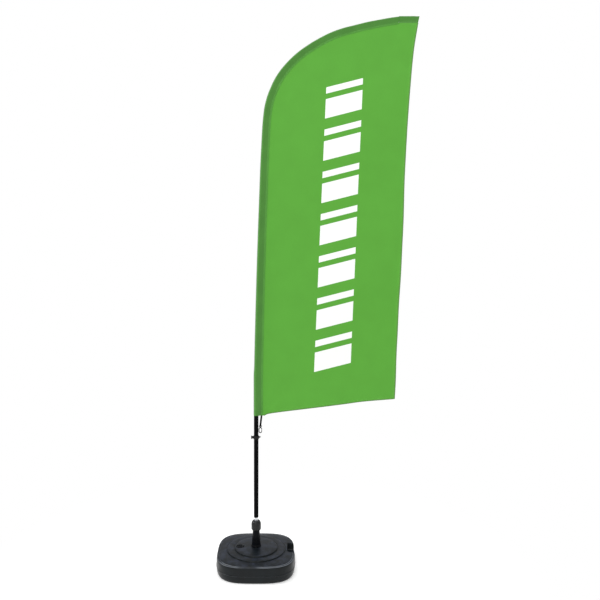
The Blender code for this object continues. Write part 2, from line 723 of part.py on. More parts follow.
# --- mast ------------------------------------------------------------------------------------
def make_mast():
    lower = [
        (POLE_BORE_R, POLE_TOP_Z), (POLE_R, POLE_TOP_Z), (POLE_R, POLE_LOW_Z + 0.5 * MM),
        (POLE_R - 0.5 * MM, POLE_LOW_Z), (POLE_BORE_R + 0.5 * MM, POLE_LOW_Z),
        (POLE_BORE_R, POLE_LOW_Z + 0.5 * MM),
    ]
    turned("lower_tube", lower, BLACK_TUBE, ring=True, steps=28)
    stop_low = SPIGOT_TOP_Z + 3.8 * MM
    turned("pole_stop", disc(POLE_BORE_R - GAP, stop_low, stop_low + 25 * MM), NYLON, steps=20)
    ring_low = POLE_TOP_Z + GAP
    ferrule = washer(MID_TUBE_R + 0.4 * MM, 12.6 * MM, ring_low, ring_low + 18 * MM)
    turned("mid_ferrule", ferrule, BLACK_TUBE, ring=True, steps=20)

    low, high = MID_TUBE_SPAN
    part = add_part("mid_tube", rod_mesh("mid_tube", low, high, MID_TUBE_R, MID_TUBE_R), BLACK_TUBE)
    bore = add_cutter("mid_tube_bore", rod_mesh("mid_tube_bore", low - 0.11, high + 0.11,
                                                MID_TUBE_BORE_R, MID_TUBE_BORE_R))
    cut(part, bore)

    low, high = UPPER_ROD_SPAN
    add_part("upper_rod", rod_mesh("upper_rod", low, high, *UPPER_ROD_R), GLASS_FIBRE)
    tip_low = high + 1.0 * MM
    add_part("tip_rod", rod_mesh("tip_rod", tip_low, TIP_ROD_END, *TIP_ROD_R), GLASS_FIBRE)

    sleeve = add_part("tip_ferrule", rod_mesh("tip_ferrule", high - 0.045, high + 0.045,
                                              7.4 * MM, 7.4 * MM), STEEL)
    bore = add_cutter("tip_ferrule_bore", rod_mesh("tip_ferrule_bore", high - 0.079, high + 0.079,
                                                   6.4 * MM, 6.4 * MM))
    cut(sleeve, bore)

    end = MAST.at(TIP_ROD_END)
    inward = MAST.inward(TIP_ROD_END - 0.01)
    along = Vector((-inward.y, 0.0, inward.x))
    cap = [
        (0.0, 3.0 * MM), (3.6 * MM, 2.6 * MM), (5.6 * MM, 0.6 * MM), (5.8 * MM, -9.0 * MM),
        (4.2 * MM, -9.0 * MM), (4.2 * MM, GAP), (0.0, GAP),
    ]
    turned("tip_cap", cap, RUBBER, steps=14, place=(end.x, 0.0, end.y), along=along)


# --- cloth -----------------------------------------------------------------------------------
def teardrop(place, radius, seam, half_seam):
    """A section of the pole sleeve: round over the mast, drawn in to the seam."""
    centre = MAST.at(place)
    inward = MAST.inward(place)
    turn_angle = math.acos((radius - half_seam) / (seam - 2 * MM)) if seam > radius else 1.0
    points = []
    for i in range(SLEEVE_ARC_STEPS + 1):
        angle = turn_angle + (math.tau - 2 * turn_angle) * i / SLEEVE_ARC_STEPS
        points.append((radius * math.cos(angle), radius * math.sin(angle)))
    last = points[-1]
    for share in (0.5, 1.0):
        points.append((last[0] + (seam - last[0]) * share,
                       last[1] + (-half_seam - last[1]) * share))
    first = points[0]
    points.append((seam, half_seam))
    points.append(((seam + first[0]) / 2, (half_seam + first[1]) / 2))
    ring = []
    for reach, side in points:
        across = min(centre.x + inward.x * reach, SLEEVE_END_X)
        ring.append((across, side, centre.y + inward.y * reach))
    return ring


SLEEVE_LOW = MAST.distance_at(lambda point: point.y >= SLEEVE_LOW_Z)
SLEEVE_HIGH = MAST.distance_at(lambda point: point.x >= SLEEVE_END_X)


def taper(place, ends):
    share = (place - SLEEVE_LOW) / (SLEEVE_HIGH - SLEEVE_LOW)
    return ends[0] + (ends[1] - ends[0]) * share


def sleeve_radius(place):
    """Wide over the lower tube, then drawn in over the upper rods."""
    low, high = SLEEVE_WAIST_Z
    share = max(0.0, min(1.0, (MAST.at(place).y - low) / (high - low)))
    return SLEEVE_LOW_R + (taper(place, SLEEVE_R) - SLEEVE_LOW_R) * share


def make_sleeve():
    """The sewn channel that slides over the mast, open at both ends."""
    outer = []
    inner = []
    waist = [MAST.distance_at(lambda point: point.y >= height) for height in SLEEVE_WAIST_Z]
    for place in sorted(stations(SLEEVE_LOW, SLEEVE_HIGH) + waist):
        radius = sleeve_radius(place)
        seam = taper(place, SEAM_OFFSET)
        outer.append(teardrop(place, radius, seam, 1.1 * MM))
        inner.append(teardrop(place, radius - SLEEVE_WALL, seam - 4 * MM, 0.4 * MM))
    add_part("pole_sleeve", hollow_loft_mesh("pole_sleeve", outer, inner), SLEEVE_GREEN)


def make_panel():
    """The flat cloth between the sleeve's seam, the trailing edge and the bottom edge."""
    outline = []
    for place in [SLEEVE_LOW + 6 * MM] + stations(SLEEVE_LOW, SLEEVE_HIGH)[1:]:
        spot = MAST.at(place) + MAST.inward(place) * (taper(place, SEAM_OFFSET) + GAP)
        outline.append((spot.x, spot.y))
    under_pocket = POCKET_LOW_Z - GAP
    outline = [spot for spot in outline if spot[1] < under_pocket or spot[0] < 0.5]
    outline.append((SLEEVE_END_X, under_pocket))
    edge = smooth_line(TRAILING_EDGE, 3)
    edge.reverse()
    outline += [(spot.x, min(spot.y, under_pocket)) for spot in edge]
    hem = smooth_line(BOTTOM_EDGE, 4)
    hem.reverse()
    outline += [(spot.x, spot.y) for spot in hem[1:-1]]
    add_part("flag_panel", flat_mesh("flag_panel", [outline], CLOTH), CLOTH_GREEN)


def pocket_ring(x, top, low, half_top, half_low):
    """A section of the tip pocket: full round the rod, thin at its lower edge."""
    ring = []
    rod_z = MAST.at(min(MAST.distance_at(lambda point: point.x >= x), TIP_ROD_END)).y
    for i in range(7):
        angle = math.pi * i / 6
        ring.append((x, half_top * math.cos(angle), rod_z + (top - rod_z) * math.sin(angle)))
    for share in (0.5, 1.0):
        ring.append((x, -(half_top + (half_low - half_top) * share), rod_z + (low - rod_z) * share))
    for share in (1.0, 0.5):
        ring.append((x, half_top + (half_low - half_top) * share, rod_z + (low - rod_z) * share))
    return ring


def make_tip_pocket():
    """The doubled cloth pocket that holds the rod's tip at the flag's top corner."""
    start = SLEEVE_END_X + 1.2 * MM
    outer = []
    for x, half in ((start, 8.2 * MM), (0.850, 8.0 * MM), (0.898, 7.8 * MM), (0.908, 4.0 * MM),
                    (POCKET_END_X, 1.2 * MM)):
        low_edge = POCKET_LOW_Z if x < 0.915 else POCKET_LOW_Z + 3 * MM
        outer.append(pocket_ring(x, POCKET_TOP_Z, low_edge, half, 1.1 * MM))
    inner = []
    for x, half in ((start - 0.02, 7.0 * MM), (start, 7.0 * MM), (0.850, 6.9 * MM),
                    (0.8925, 6.3 * MM)):
        rod_z = MAST.at(min(MAST.distance_at(lambda point: point.x >= x), TIP_ROD_END)).y
        inner.append(pocket_ring(x, min(rod_z + 7.0 * MM, POCKET_TOP_Z - 0.7 * MM),
                                 POCKET_LOW_Z + 6 * MM, half, 0.4 * MM))
    part = add_part("tip_pocket", loft_mesh("tip_pocket", outer), SLEEVE_GREEN)
    cut(part, add_cutter("tip_pocket_hollow", loft_mesh("tip_pocket_hollow", inner)))


# --- strap and snap hook -----------------------------------------------------------------------
def make_strap():
    """A doubled webbing strap with a sewn loop round the hook eye's bar."""
    inner_r = EYE_WIRE_R + 0.5 * MM
    outer_r = inner_r + STRAP_LAYER
    half = STRAP_LAYER
    meet = math.asin(half / outer_r)
    outline = [(half, STRAP_TOP_Z), (half, 0.824), (half, 0.806)]
    for i in range(13):
        angle = math.pi / 2 - meet - (math.tau - 2 * meet) * i / 12
        outline.append((outer_r * math.cos(angle), EYE_BAR_Z + outer_r * math.sin(angle)))
    outline += [(-half, 0.806), (-half, 0.824), (-half, STRAP_TOP_Z)]
    hole = []
    for i in range(12):
        angle = math.tau * i / 12
        hole.append((inner_r * math.cos(angle), EYE_BAR_Z + inner_r * math.sin(angle)))
    mesh = flat_mesh("tension_strap", [outline, hole], STRAP_WIDTH)
    mesh.transform(Matrix.Rotation(math.radians(90), 4, "Z"))
    start = EYE_BAR_Z + outer_r
    for corner in mesh.vertices:
        share = max(corner.co.z - start, 0.0) / (STRAP_TOP_Z - start)
        corner.co.x += HOOK_X + STRAP_LEAN * share
    add_part("tension_strap", mesh, WEBBING)


def rounded_loop(half, low, high, steps):
    """A closed stadium in the XZ plane round HOOK_X, from the right side over the top."""
    points = []
    for centre_z, start in ((high - half, 0.0), (low + half, math.pi)):
        for i in range(steps + 1):
            angle = start + math.pi * i / steps
            points.append((HOOK_X + half * math.cos(angle), 0.0, centre_z + half * math.sin(angle)))
    return points


def make_hook_eye():
    """A small D-eye on the strap, with the boss that the hook swivels in."""
    low = EYE_BOSS_Z[0] + 1.2 * MM
    bar = EYE_BAR_Z
    loop = [
        (HOOK_X + EYE_HALF, 0.0, bar - 0.6 * MM), (HOOK_X + EYE_HALF - 1.0 * MM, 0.0, bar),
        (HOOK_X, 0.0, bar),
        (HOOK_X - EYE_HALF + 1.0 * MM, 0.0, bar), (HOOK_X - EYE_HALF, 0.0, bar - 0.6 * MM),
        (HOOK_X - EYE_HALF, 0.0, bar - 2.6 * MM), (HOOK_X - EYE_HALF + 1.4 * MM, 0.0, low + 0.8 * MM),
        (HOOK_X - 2.4 * MM, 0.0, low), (HOOK_X, 0.0, low),
        (HOOK_X + 2.4 * MM, 0.0, low), (HOOK_X + EYE_HALF - 1.4 * MM, 0.0, low + 0.8 * MM),
        (HOOK_X + EYE_HALF, 0.0, bar - 2.6 * MM),
    ]
    mesh = wire_mesh("hook_eye", loop, [EYE_WIRE_R] * len(loop), cyclic=True)
    part = add_part("hook_eye", mesh, DARK_STEEL)
    place = (HOOK_X, 0.0, 0.0)
    boss = turned_cutter("eye_boss", disc(2.9 * MM, *EYE_BOSS_Z), steps=14, place=place)
    hole = turned_cutter("eye_boss_hole", disc(1.4 * MM, 0.770, 0.783), steps=12, place=place)
    join(part, boss)
    cut(part, hole)


def make_hook():
    """The oval hook with its swivel stem, the gate's pin and the gate."""
    loop = rounded_loop(HOOK_HALF, HOOK_LOW_Z, HOOK_TOP_Z, 8)
    nose = (HOOK_X + HOOK_HALF, 0.0, 0.7675)
    points = [nose] + loop
    mesh = wire_mesh("hook_body", points, [HOOK_WIRE_R] * len(points))
    part = add_part("hook_body", mesh, DARK_STEEL)
    place = (HOOK_X, 0.0, 0.0)
    stem = [
        (0.0, 0.7825), (1.9 * MM, 0.7822), (2.1 * MM, 0.7803), (1.1 * MM, 0.7803),
        (1.1 * MM, 0.7758), (0.0, 0.7758),
    ]
    join(part, turned_cutter("swivel_stem", stem, steps=12, place=place))
    pivot_x = HOOK_X + HOOK_HALF
    tongue = box_mesh("hook_tongue", (pivot_x - 1.3 * MM, -0.7 * MM, GATE_PIVOT_Z - 2.2 * MM),
                      (pivot_x + 1.3 * MM, 0.7 * MM, GATE_PIVOT_Z + 1.3 * MM))
    join(part, add_cutter("hook_tongue", tongue))
    eye = turned_cutter("gate_pin_hole", disc(0.75 * MM, -3 * MM, 3 * MM), steps=10,
                        place=(pivot_x, 0.0, GATE_PIVOT_Z), along=(0.0, 1.0, 0.0))
    cut(part, eye)
    turned("gate_pin", disc(0.5 * MM, -2.2 * MM, 2.2 * MM), STEEL, steps=10,
           place=(pivot_x, 0.0, GATE_PIVOT_Z), along=(0.0, 1.0, 0.0))

    rod = wire_mesh("hook_gate", [(0.0, 0.0, 2.1 * MM), (0.0, 0.0, 10.0 * MM)],
                    [1.2 * MM, 1.2 * MM])
    gate = add_part("hook_gate", rod, STEEL)
    gate.location = (pivot_x, 0.0, GATE_PIVOT_Z)
    for side in (-1, 1):
        ear = box_mesh("gate_ear", (-1.1 * MM, 1.0 * MM, -1.1 * MM), (1.1 * MM, 1.9 * MM, 3.8 * MM))
        if side < 0:
            ear.transform(Matrix.Rotation(math.pi, 4, "Z"))
        tool = add_cutter("gate_ear_" + ("near" if side < 0 else "far"), ear)
        tool.location = gate.location
        join(gate, tool)
    bridge = box_mesh("gate_bridge", (-1.0 * MM, -1.9 * MM, 2.1 * MM), (1.0 * MM, 1.9 * MM, 3.8 * MM))
    tool = add_cutter("gate_bridge", bridge)
    tool.location = gate.location
    join(gate, tool)
    clear = turned_cutter("gate_pin_clear", disc(0.8 * MM, -3 * MM, 3 * MM), steps=10,
                          place=(pivot_x, 0.0, GATE_PIVOT_Z), along=(0.0, 1.0, 0.0))
    cut(gate, clear)


# --- tension collar ------------------------------------------------------------------------------
def make_collar():
    """The collar that clamps on the pole: screw boss on one side, hook ear on the other."""
    low = COLLAR_Z - COLLAR_HALF
    high = COLLAR_Z + COLLAR_HALF
    edge = 1.2 * MM
    profile = [
        (COLLAR_BORE_R, high), (COLLAR_R - edge, high), (COLLAR_R, high - edge),
        (COLLAR_R, low + edge), (COLLAR_R - edge, low), (COLLAR_BORE_R, low),
    ]
    part = turned("tension_collar", profile, NUT_PLASTIC, ring=True, steps=28)
    place = (0.0, 0.0, COLLAR_Z)
    boss = turned_cutter("screw_boss", disc(7.0 * MM, 14.5 * MM, 22.2 * MM), steps=20, place=place,
                         along=(-1.0, 0.0, 0.0))
    join(part, boss)
    ear = [
        (0.0146, 0.7165), (0.0200, 0.7180), (0.0250, 0.7215), (0.0266, 0.7245), (0.0255, 0.7265),
        (0.0205, 0.7270), (0.0146, 0.7280),
    ]
    mesh = flat_mesh("hook_ear", [ear], 4.0 * MM)
    join(part, add_cutter("hook_ear", mesh))
    hole = turned_cutter("ear_hole", disc(2.1 * MM, -5 * MM, 5 * MM), steps=14,
                         place=(0.0216, 0.0, 0.7235), along=(0.0, 1.0, 0.0))
    screw_hole = turned_cutter("screw_hole", disc(SCREW_HOLE_R, 10 * MM, 30 * MM), steps=16,
                               place=place, along=(-1.0, 0.0, 0.0))
    cut(part, hole)
    cut(part, screw_hole)

    shank = SCREW_HOLE_R - 0.4 * MM
    turned("clamp_pad", disc(shank, POLE_R + 0.4 * MM, 15.0 * MM), BRASS, steps=12,
           place=place, along=(-1.0, 0.0, 0.0))
    screw = [
        (0.0, 28.8 * MM), (SCREW_HEAD_R - 1.2 * MM, 28.8 * MM), (SCREW_HEAD_R, 27.6 * MM),
        (SCREW_HEAD_R, 23.6 * MM), (SCREW_HEAD_R - 1.0 * MM, 22.6 * MM), (shank, 22.6 * MM),
        (shank, 15.3 * MM), (0.0, 15.3 * MM),
    ]
    part = turned("thumb_screw", screw, DARK_STEEL, steps=24, place=place, along=(-1.0, 0.0, 0.0))
    for i in range(6):
        angle = math.tau * (i + 0.5) / 6
        reach = SCREW_HEAD_R + 1.1 * MM
        spot = (-0.0257, reach * math.cos(angle), COLLAR_Z + reach * math.sin(angle))
        tool = turned_cutter("screw_flute_%d" % (i + 1), disc(2.4 * MM, -4 * MM, 4 * MM), steps=10,
                             place=spot, along=(-1.0, 0.0, 0.0))
        cut(part, tool)


make_tank()
make_filler_cap()
make_neck()
make_clamp()
make_post()
make_bearing()
make_spigot()
make_mast()
make_sleeve()
make_panel()
make_tip_pocket()
make_strap()
make_hook_eye()
make_hook()
make_collar()
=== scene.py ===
"""Looks of the wing beach flag: sewn cloth, moulded foot, clamp, pole and snap hook.

Metres, +Z up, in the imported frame's coordinates. The cloth lies in the XZ plane, with the mast on
its -X side, and its front looks towards -Y.
"""
import math

import bmesh
import bpy
from mathutils import Matrix, Vector


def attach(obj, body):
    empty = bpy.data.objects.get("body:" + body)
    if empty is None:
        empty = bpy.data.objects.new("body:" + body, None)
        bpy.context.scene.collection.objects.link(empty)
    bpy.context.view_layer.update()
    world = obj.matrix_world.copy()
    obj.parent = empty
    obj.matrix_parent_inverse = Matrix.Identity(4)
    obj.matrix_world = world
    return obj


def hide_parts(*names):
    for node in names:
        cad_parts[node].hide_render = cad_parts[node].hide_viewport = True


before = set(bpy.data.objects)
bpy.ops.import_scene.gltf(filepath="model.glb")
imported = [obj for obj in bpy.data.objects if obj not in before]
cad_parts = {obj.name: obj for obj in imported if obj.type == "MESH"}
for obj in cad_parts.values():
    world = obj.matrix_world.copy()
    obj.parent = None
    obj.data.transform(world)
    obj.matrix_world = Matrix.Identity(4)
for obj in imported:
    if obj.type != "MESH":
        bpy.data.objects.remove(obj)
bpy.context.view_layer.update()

MM = 0.001
WELD = 0.000001
SIDES = (("front", -1), ("back", 1))
WHITE = (1.0, 1.0, 1.0, 1.0)

# --- foot --------------------------------------------------------------------------------------
FOOT_HALF_X = 218 * MM
FOOT_HALF_Y = 213 * MM
FOOT_SQUARENESS = 3.3
FOOT_WALL = 3 * MM
FOOT_RIM_Z = 87 * MM
FOOT_SEAM_Z = 41 * MM
FOOT_SEGMENTS = 160
OUTER_STEP_R = 162 * MM
OUTER_STEP_Z = 93.5 * MM
INNER_STEP_R = 119 * MM
INNER_STEP_Z = 99.5 * MM
STEP_RISE = 5.0 * MM
STEP_GROOVE = 2.0 * MM
CROWN_Z = 108 * MM
WELL_R = 20.5 * MM
WELL_FLOOR_Z = 48 * MM
FILLER_X = -90 * MM
FILLER_RECESS_R = 21.5 * MM
FILLER_RECESS_Z = 97.5 * MM
FILLER_HOLE_R = 15 * MM
GRIP_LOW = Vector((174 * MM, -37 * MM, 49 * MM))
GRIP_HIGH = Vector((236 * MM, 77 * MM, 130 * MM))
GRIP_ROUND = 9 * MM

# --- neck, nut and spigot ------------------------------------------------------------------------
NECK_TOP_Z = 247.5 * MM
NECK_SHOULDER_Z = 214.5 * MM
NECK_THREAD_R = 15 * MM
NECK_THREAD_PITCH = 3 * MM
NECK_THREAD_DEPTH = 0.8 * MM
NECK_BORE_R = 11.8 * MM
NECK_BORE_FLOOR_Z = 62 * MM
NUT_R = 26.8 * MM
NUT_BOTTOM_Z = 199.5 * MM
NUT_SKIRT_BORE_R = 20.2 * MM
NUT_TOP_Z = 253.5 * MM
NUT_HOLE_R = 11.2 * MM
NUT_LOBES = 8
SPIGOT_R = 10 * MM
SPIGOT_BORE_R = 8.1 * MM
SPIGOT_LOW_Z = 256.5 * MM
SPIGOT_TOP_Z = 429.5 * MM

# --- mast ------------------------------------------------------------------------------------------
POLE_R = 12.9 * MM
POLE_BORE_R = 10.3 * MM
POLE_LOW_Z = 270 * MM
POLE_TOP_Z = 1050 * MM
MAST_POINTS = (
    (0.0, 0.270), (0.0, 0.660), (0.0, 1.000), (0.0, 1.070), (0.0050, 1.330), (0.0150, 1.720),
    (0.0262, 2.060), (0.0368, 2.340), (0.0528, 2.568), (0.0834, 2.680), (0.1442, 2.791),
    (0.2555, 2.902), (0.4255, 3.0015), (0.577, 3.0474), (0.700, 3.0740), (0.801, 3.0900),
    (0.885, 3.0930),
)
TIP_ROD_END = 3.362

# --- cloth -----------------------------------------------------------------------------------------
CLOTH = 0.5 * MM
HEM = 1.2 * MM
SLEEVE_WALL = 0.6 * MM
SLEEVE_LOW_Z = 843 * MM
SLEEVE_R = (12.4 * MM, 6.6 * MM)
SLEEVE_LOW_R = 13.9 * MM
SLEEVE_WAIST_Z = (1072 * MM, 1130 * MM)
SEAM_OFFSET = (29 * MM, 27 * MM)
SLEEVE_END_X = 806 * MM
LAP_WIDTH = 9.4 * MM
POCKET_START_X = 807.2 * MM
POCKET_END_X = 923 * MM
POCKET_TOP_Z = 3100 * MM
POCKET_SLANT = 8 * MM
POCKET_LOW_Z = 3063.5 * MM
PANEL_TOP_Z = 3063.2 * MM
LEVEL_ROWS_Z = 1.35
TRAILING_EDGE = (
    (0.7814, 0.9372), (0.7932, 1.214), (0.8088, 1.4965), (0.8205, 1.7225), (0.8348, 2.0615),
    (0.8465, 2.344), (0.8562, 2.5135), (0.8672, 2.683), (0.8866, 2.875), (0.8950, 2.943), (0.9150, 3.0630),
)
BOTTOM_EDGE = (
    (0.0320, 0.8436), (0.046, 0.8440), (0.060, 0.8520), (0.142, 0.8645), (0.261, 0.8790),
    (0.380, 0.8934), (0.500, 0.9088), (0.600, 0.9224), (0.7814, 0.9372),
)

# --- printed marks: a column of slanted bars ---------------------------------------------------------
MARKS_LOW = Vector((0.431, 0.0, 1.115))
MARKS_HIGH = Vector((0.503, 0.0, 2.788))
MARK_COUNT = 7
MARK_WIDTH = 0.205
MARK_SLANT = 0.30

# --- strap, snap hook and collar -----------------------------------------------------------------------
HOOK_X = 23.7 * MM
STRAP_WIDTH = 10.5 * MM
STRAP_LAYER = 1.2 * MM
STRAP_TOP_Z = 843.5 * MM
STRAP_LEAN = 6.5 * MM
EYE_BAR_Z = 785.5 * MM
EYE_HALF = 7.1 * MM
EYE_WIRE_R = 1.6 * MM
EYE_BOSS_Z = (777.5 * MM, 780.0 * MM)
HOOK_WIRE_R = 2.3 * MM
HOOK_HALF = 7.35 * MM
HOOK_TOP_Z = 775.1 * MM
HOOK_LOW_Z = 747.0 * MM
GATE_PIVOT_Z = 756.4 * MM
COLLAR_Z = 721 * MM
COLLAR_HALF = 8.8 * MM
COLLAR_R = 16.5 * MM
COLLAR_BORE_R = 13.2 * MM
SCREW_HEAD_R = 9.0 * MM

PIECES = bpy.data.collections.new("flag_pieces")
bpy.context.scene.collection.children.link(PIECES)


# --- camera, floor and light -----------------------------------------------------------------------
def make_stage():
    """A level camera in front of the cloth, a pale floor that glows more with distance, and soft white
    light.
    """
    lens = bpy.data.cameras.new("camera")
    lens.sensor_width = 36.0
    lens.lens = 33.13
    camera = bpy.data.objects.new("camera", lens)
    camera.location = (0.10, -3.12, 1.55)
    lens.shift_x = 0.0435
    lens.shift_y = -0.0158
    camera.rotation_euler = (math.radians(90), 0.0, 0.0)
    bpy.context.scene.collection.objects.link(camera)
    bpy.context.scene.camera = camera
    bpy.context.scene.view_settings.view_transform = "Standard"

    floor_mesh = bpy.data.meshes.new("floor")
    reach = 40.0
    corners = [(-reach, -reach, 0.0), (reach, -reach, 0.0), (reach, reach, 0.0), (-reach, reach, 0.0)]
    floor_mesh.from_pydata(corners, [], [(0, 1, 2, 3)])
    floor = bpy.data.objects.new("floor", floor_mesh)
    floor_glow_paint, sheet, shader = blank_material("floor_glow_paint")
    # Painted light: the floor glows faintly near the foot and fully white far off, where its own colour
    # fades to black, so it merges into the white backdrop.
    away = sheet.node("ShaderNodeVectorMath", operation="LENGTH")
    sheet.put(sheet.place(), away.inputs[0])
    far = sheet.ramp(away.outputs["Value"], 0.25, 1.6)
    sheet.put(sheet.mix(far, (0.93, 0.93, 0.93, 1.0), (0.0, 0.0, 0.0, 1.0)), shader["Base Color"])
    sheet.put(sheet.mix(far, (0.30, 0.30, 0.30, 1.0), WHITE), shader["Emission Color"])
    shader["Emission Strength"].default_value = 1.0
    shader["Specular IOR Level"].default_value = 0.0
    shader["Roughness"].default_value = 0.9
    floor_mesh.materials.append(floor_glow_paint)
    bpy.context.scene.collection.objects.link(floor)

    world = bpy.data.worlds.new("studio")
    world.use_nodes = True
    bpy.context.scene.world = world
    tree = world.node_tree
    glow = tree.nodes["Background"]
    glow.inputs["Color"].default_value = WHITE
    glow.inputs["Strength"].default_value = 0.55
    seen = tree.nodes.new("ShaderNodeBackground")
    seen.inputs["Color"].default_value = WHITE
    seen.inputs["Strength"].default_value = 1.0
    path = tree.nodes.new("ShaderNodeLightPath")
    mix = tree.nodes.new("ShaderNodeMixShader")
    tree.links.new(path.outputs["Is Camera Ray"], mix.inputs["Fac"])
    tree.links.new(glow.outputs["Background"], mix.inputs[1])
    tree.links.new(seen.outputs["Background"], mix.inputs[2])
    tree.links.new(mix.outputs["Shader"], tree.nodes["World Output"].inputs["Surface"])

    add_light("front_light", (-1.2, -5.5, 3.6), (0.35, 0.0, 1.6), 4.0, 105.0)
    add_light("top_light", (0.3, 0.2, 7.0), (0.3, 0.0, 0.0), 5.0, 200.0)
    add_light("left_light", (-3.4, -0.6, 2.4), (0.0, 0.0, 1.2), 1.0, 55.0)


def add_light(name, place, target, size, power):
    lamp = bpy.data.lights.new(name, "AREA")
    lamp.shape = "SQUARE"
    lamp.size = size
    lamp.energy = power
    light = bpy.data.objects.new(name, lamp)
    light.location = place
    light.rotation_euler = (Vector(target) - Vector(place)).to_track_quat("-Z", "Y").to_euler()
    bpy.context.scene.collection.objects.link(light)


# --- shader building ---------------------------------------------------------------------------------
class Sheet:
    """Short calls for laying nodes on one tree."""

    def __init__(self, tree):
        self.tree = tree

    def node(self, kind, **settings):
        made = self.tree.nodes.new(kind)
        for name, value in settings.items():
            setattr(made, name, value)
        return made

    def put(self, value, socket):
        """Feed a socket with another socket's output, or set it to a constant."""
        if isinstance(value, bpy.types.NodeSocket):
            self.tree.links.new(value, socket)
        else:
            socket.default_value = value

    def maths(self, operation, first, second=0.0, clamp=False):
        made = self.node("ShaderNodeMath", operation=operation, use_clamp=clamp)
        self.put(first, made.inputs[0])
        self.put(second, made.inputs[1])
        return made.outputs[0]

    def ramp(self, value, low, high, out_low=0.0, out_high=1.0):
        """Map one range of a value onto another, with soft ends."""
        made = self.node("ShaderNodeMapRange", interpolation_type="SMOOTHSTEP")
        self.put(value, made.inputs["Value"])
        ends = {"From Min": low, "From Max": high, "To Min": out_low, "To Max": out_high}
        for name, number in ends.items():
            made.inputs[name].default_value = number
        return made.outputs["Result"]

    def noise(self, place, scale, detail=3.0, roughness=0.55):
        made = self.node("ShaderNodeTexNoise")
        self.put(place, made.inputs["Vector"])
        self.put(scale, made.inputs["Scale"])
        made.inputs["Detail"].default_value = detail
        made.inputs["Roughness"].default_value = roughness
        return made.outputs["Fac"]

    def stretched(self, place, scale):
        """The same place with its axes scaled, for streaks and fibres."""
        made = self.node("ShaderNodeVectorMath", operation="MULTIPLY")
        self.put(place, made.inputs[0])
        made.inputs[1].default_value = scale
        return made.outputs["Vector"]

    def along(self, place, start, direction):
        """How far a place lies from a start along a direction."""
        away = self.node("ShaderNodeVectorMath", operation="SUBTRACT")
        self.put(place, away.inputs[0])
        away.inputs[1].default_value = start
        dot = self.node("ShaderNodeVectorMath", operation="DOT_PRODUCT")
        self.put(away.outputs["Vector"], dot.inputs[0])
        dot.inputs[1].default_value = direction
        return dot.outputs["Value"]

    def axes(self, place):
        """A place or direction as its X, Y and Z."""
        made = self.node("ShaderNodeSeparateXYZ")
        self.put(place, made.inputs[0])
        return made.outputs

    def mix(self, share, first, second):
        """Blend two colours."""
        made = self.node("ShaderNodeMix", data_type="RGBA")
        self.put(share, made.inputs[0])
        self.put(first, made.inputs[6])
        self.put(second, made.inputs[7])
        return made.outputs[2]

    def place(self):
        return self.node("ShaderNodeTexCoord").outputs["Object"]

    def group(self, name, **values):
        made = self.node("ShaderNodeGroup", node_tree=bpy.data.node_groups[name])
        for socket, value in values.items():
            self.put(value, made.inputs[socket.replace("_", " ")])
        return made.outputs


def effect(name, inputs, outputs):
    """A node group with float inputs (name: start value), a place, and named outputs."""
    tree = bpy.data.node_groups.new(name, "ShaderNodeTree")
    tree.interface.new_socket("Place", in_out="INPUT", socket_type="NodeSocketVector")
    for label, start in inputs.items():
        socket = tree.interface.new_socket(label, in_out="INPUT", socket_type="NodeSocketFloat")
        socket.default_value = start
    for label in outputs:
        tree.interface.new_socket(label, in_out="OUTPUT", socket_type="NodeSocketFloat")
    sheet = Sheet(tree)
    source = sheet.node("NodeGroupInput").outputs
    result = sheet.node("NodeGroupOutput").inputs
    return sheet, source, result


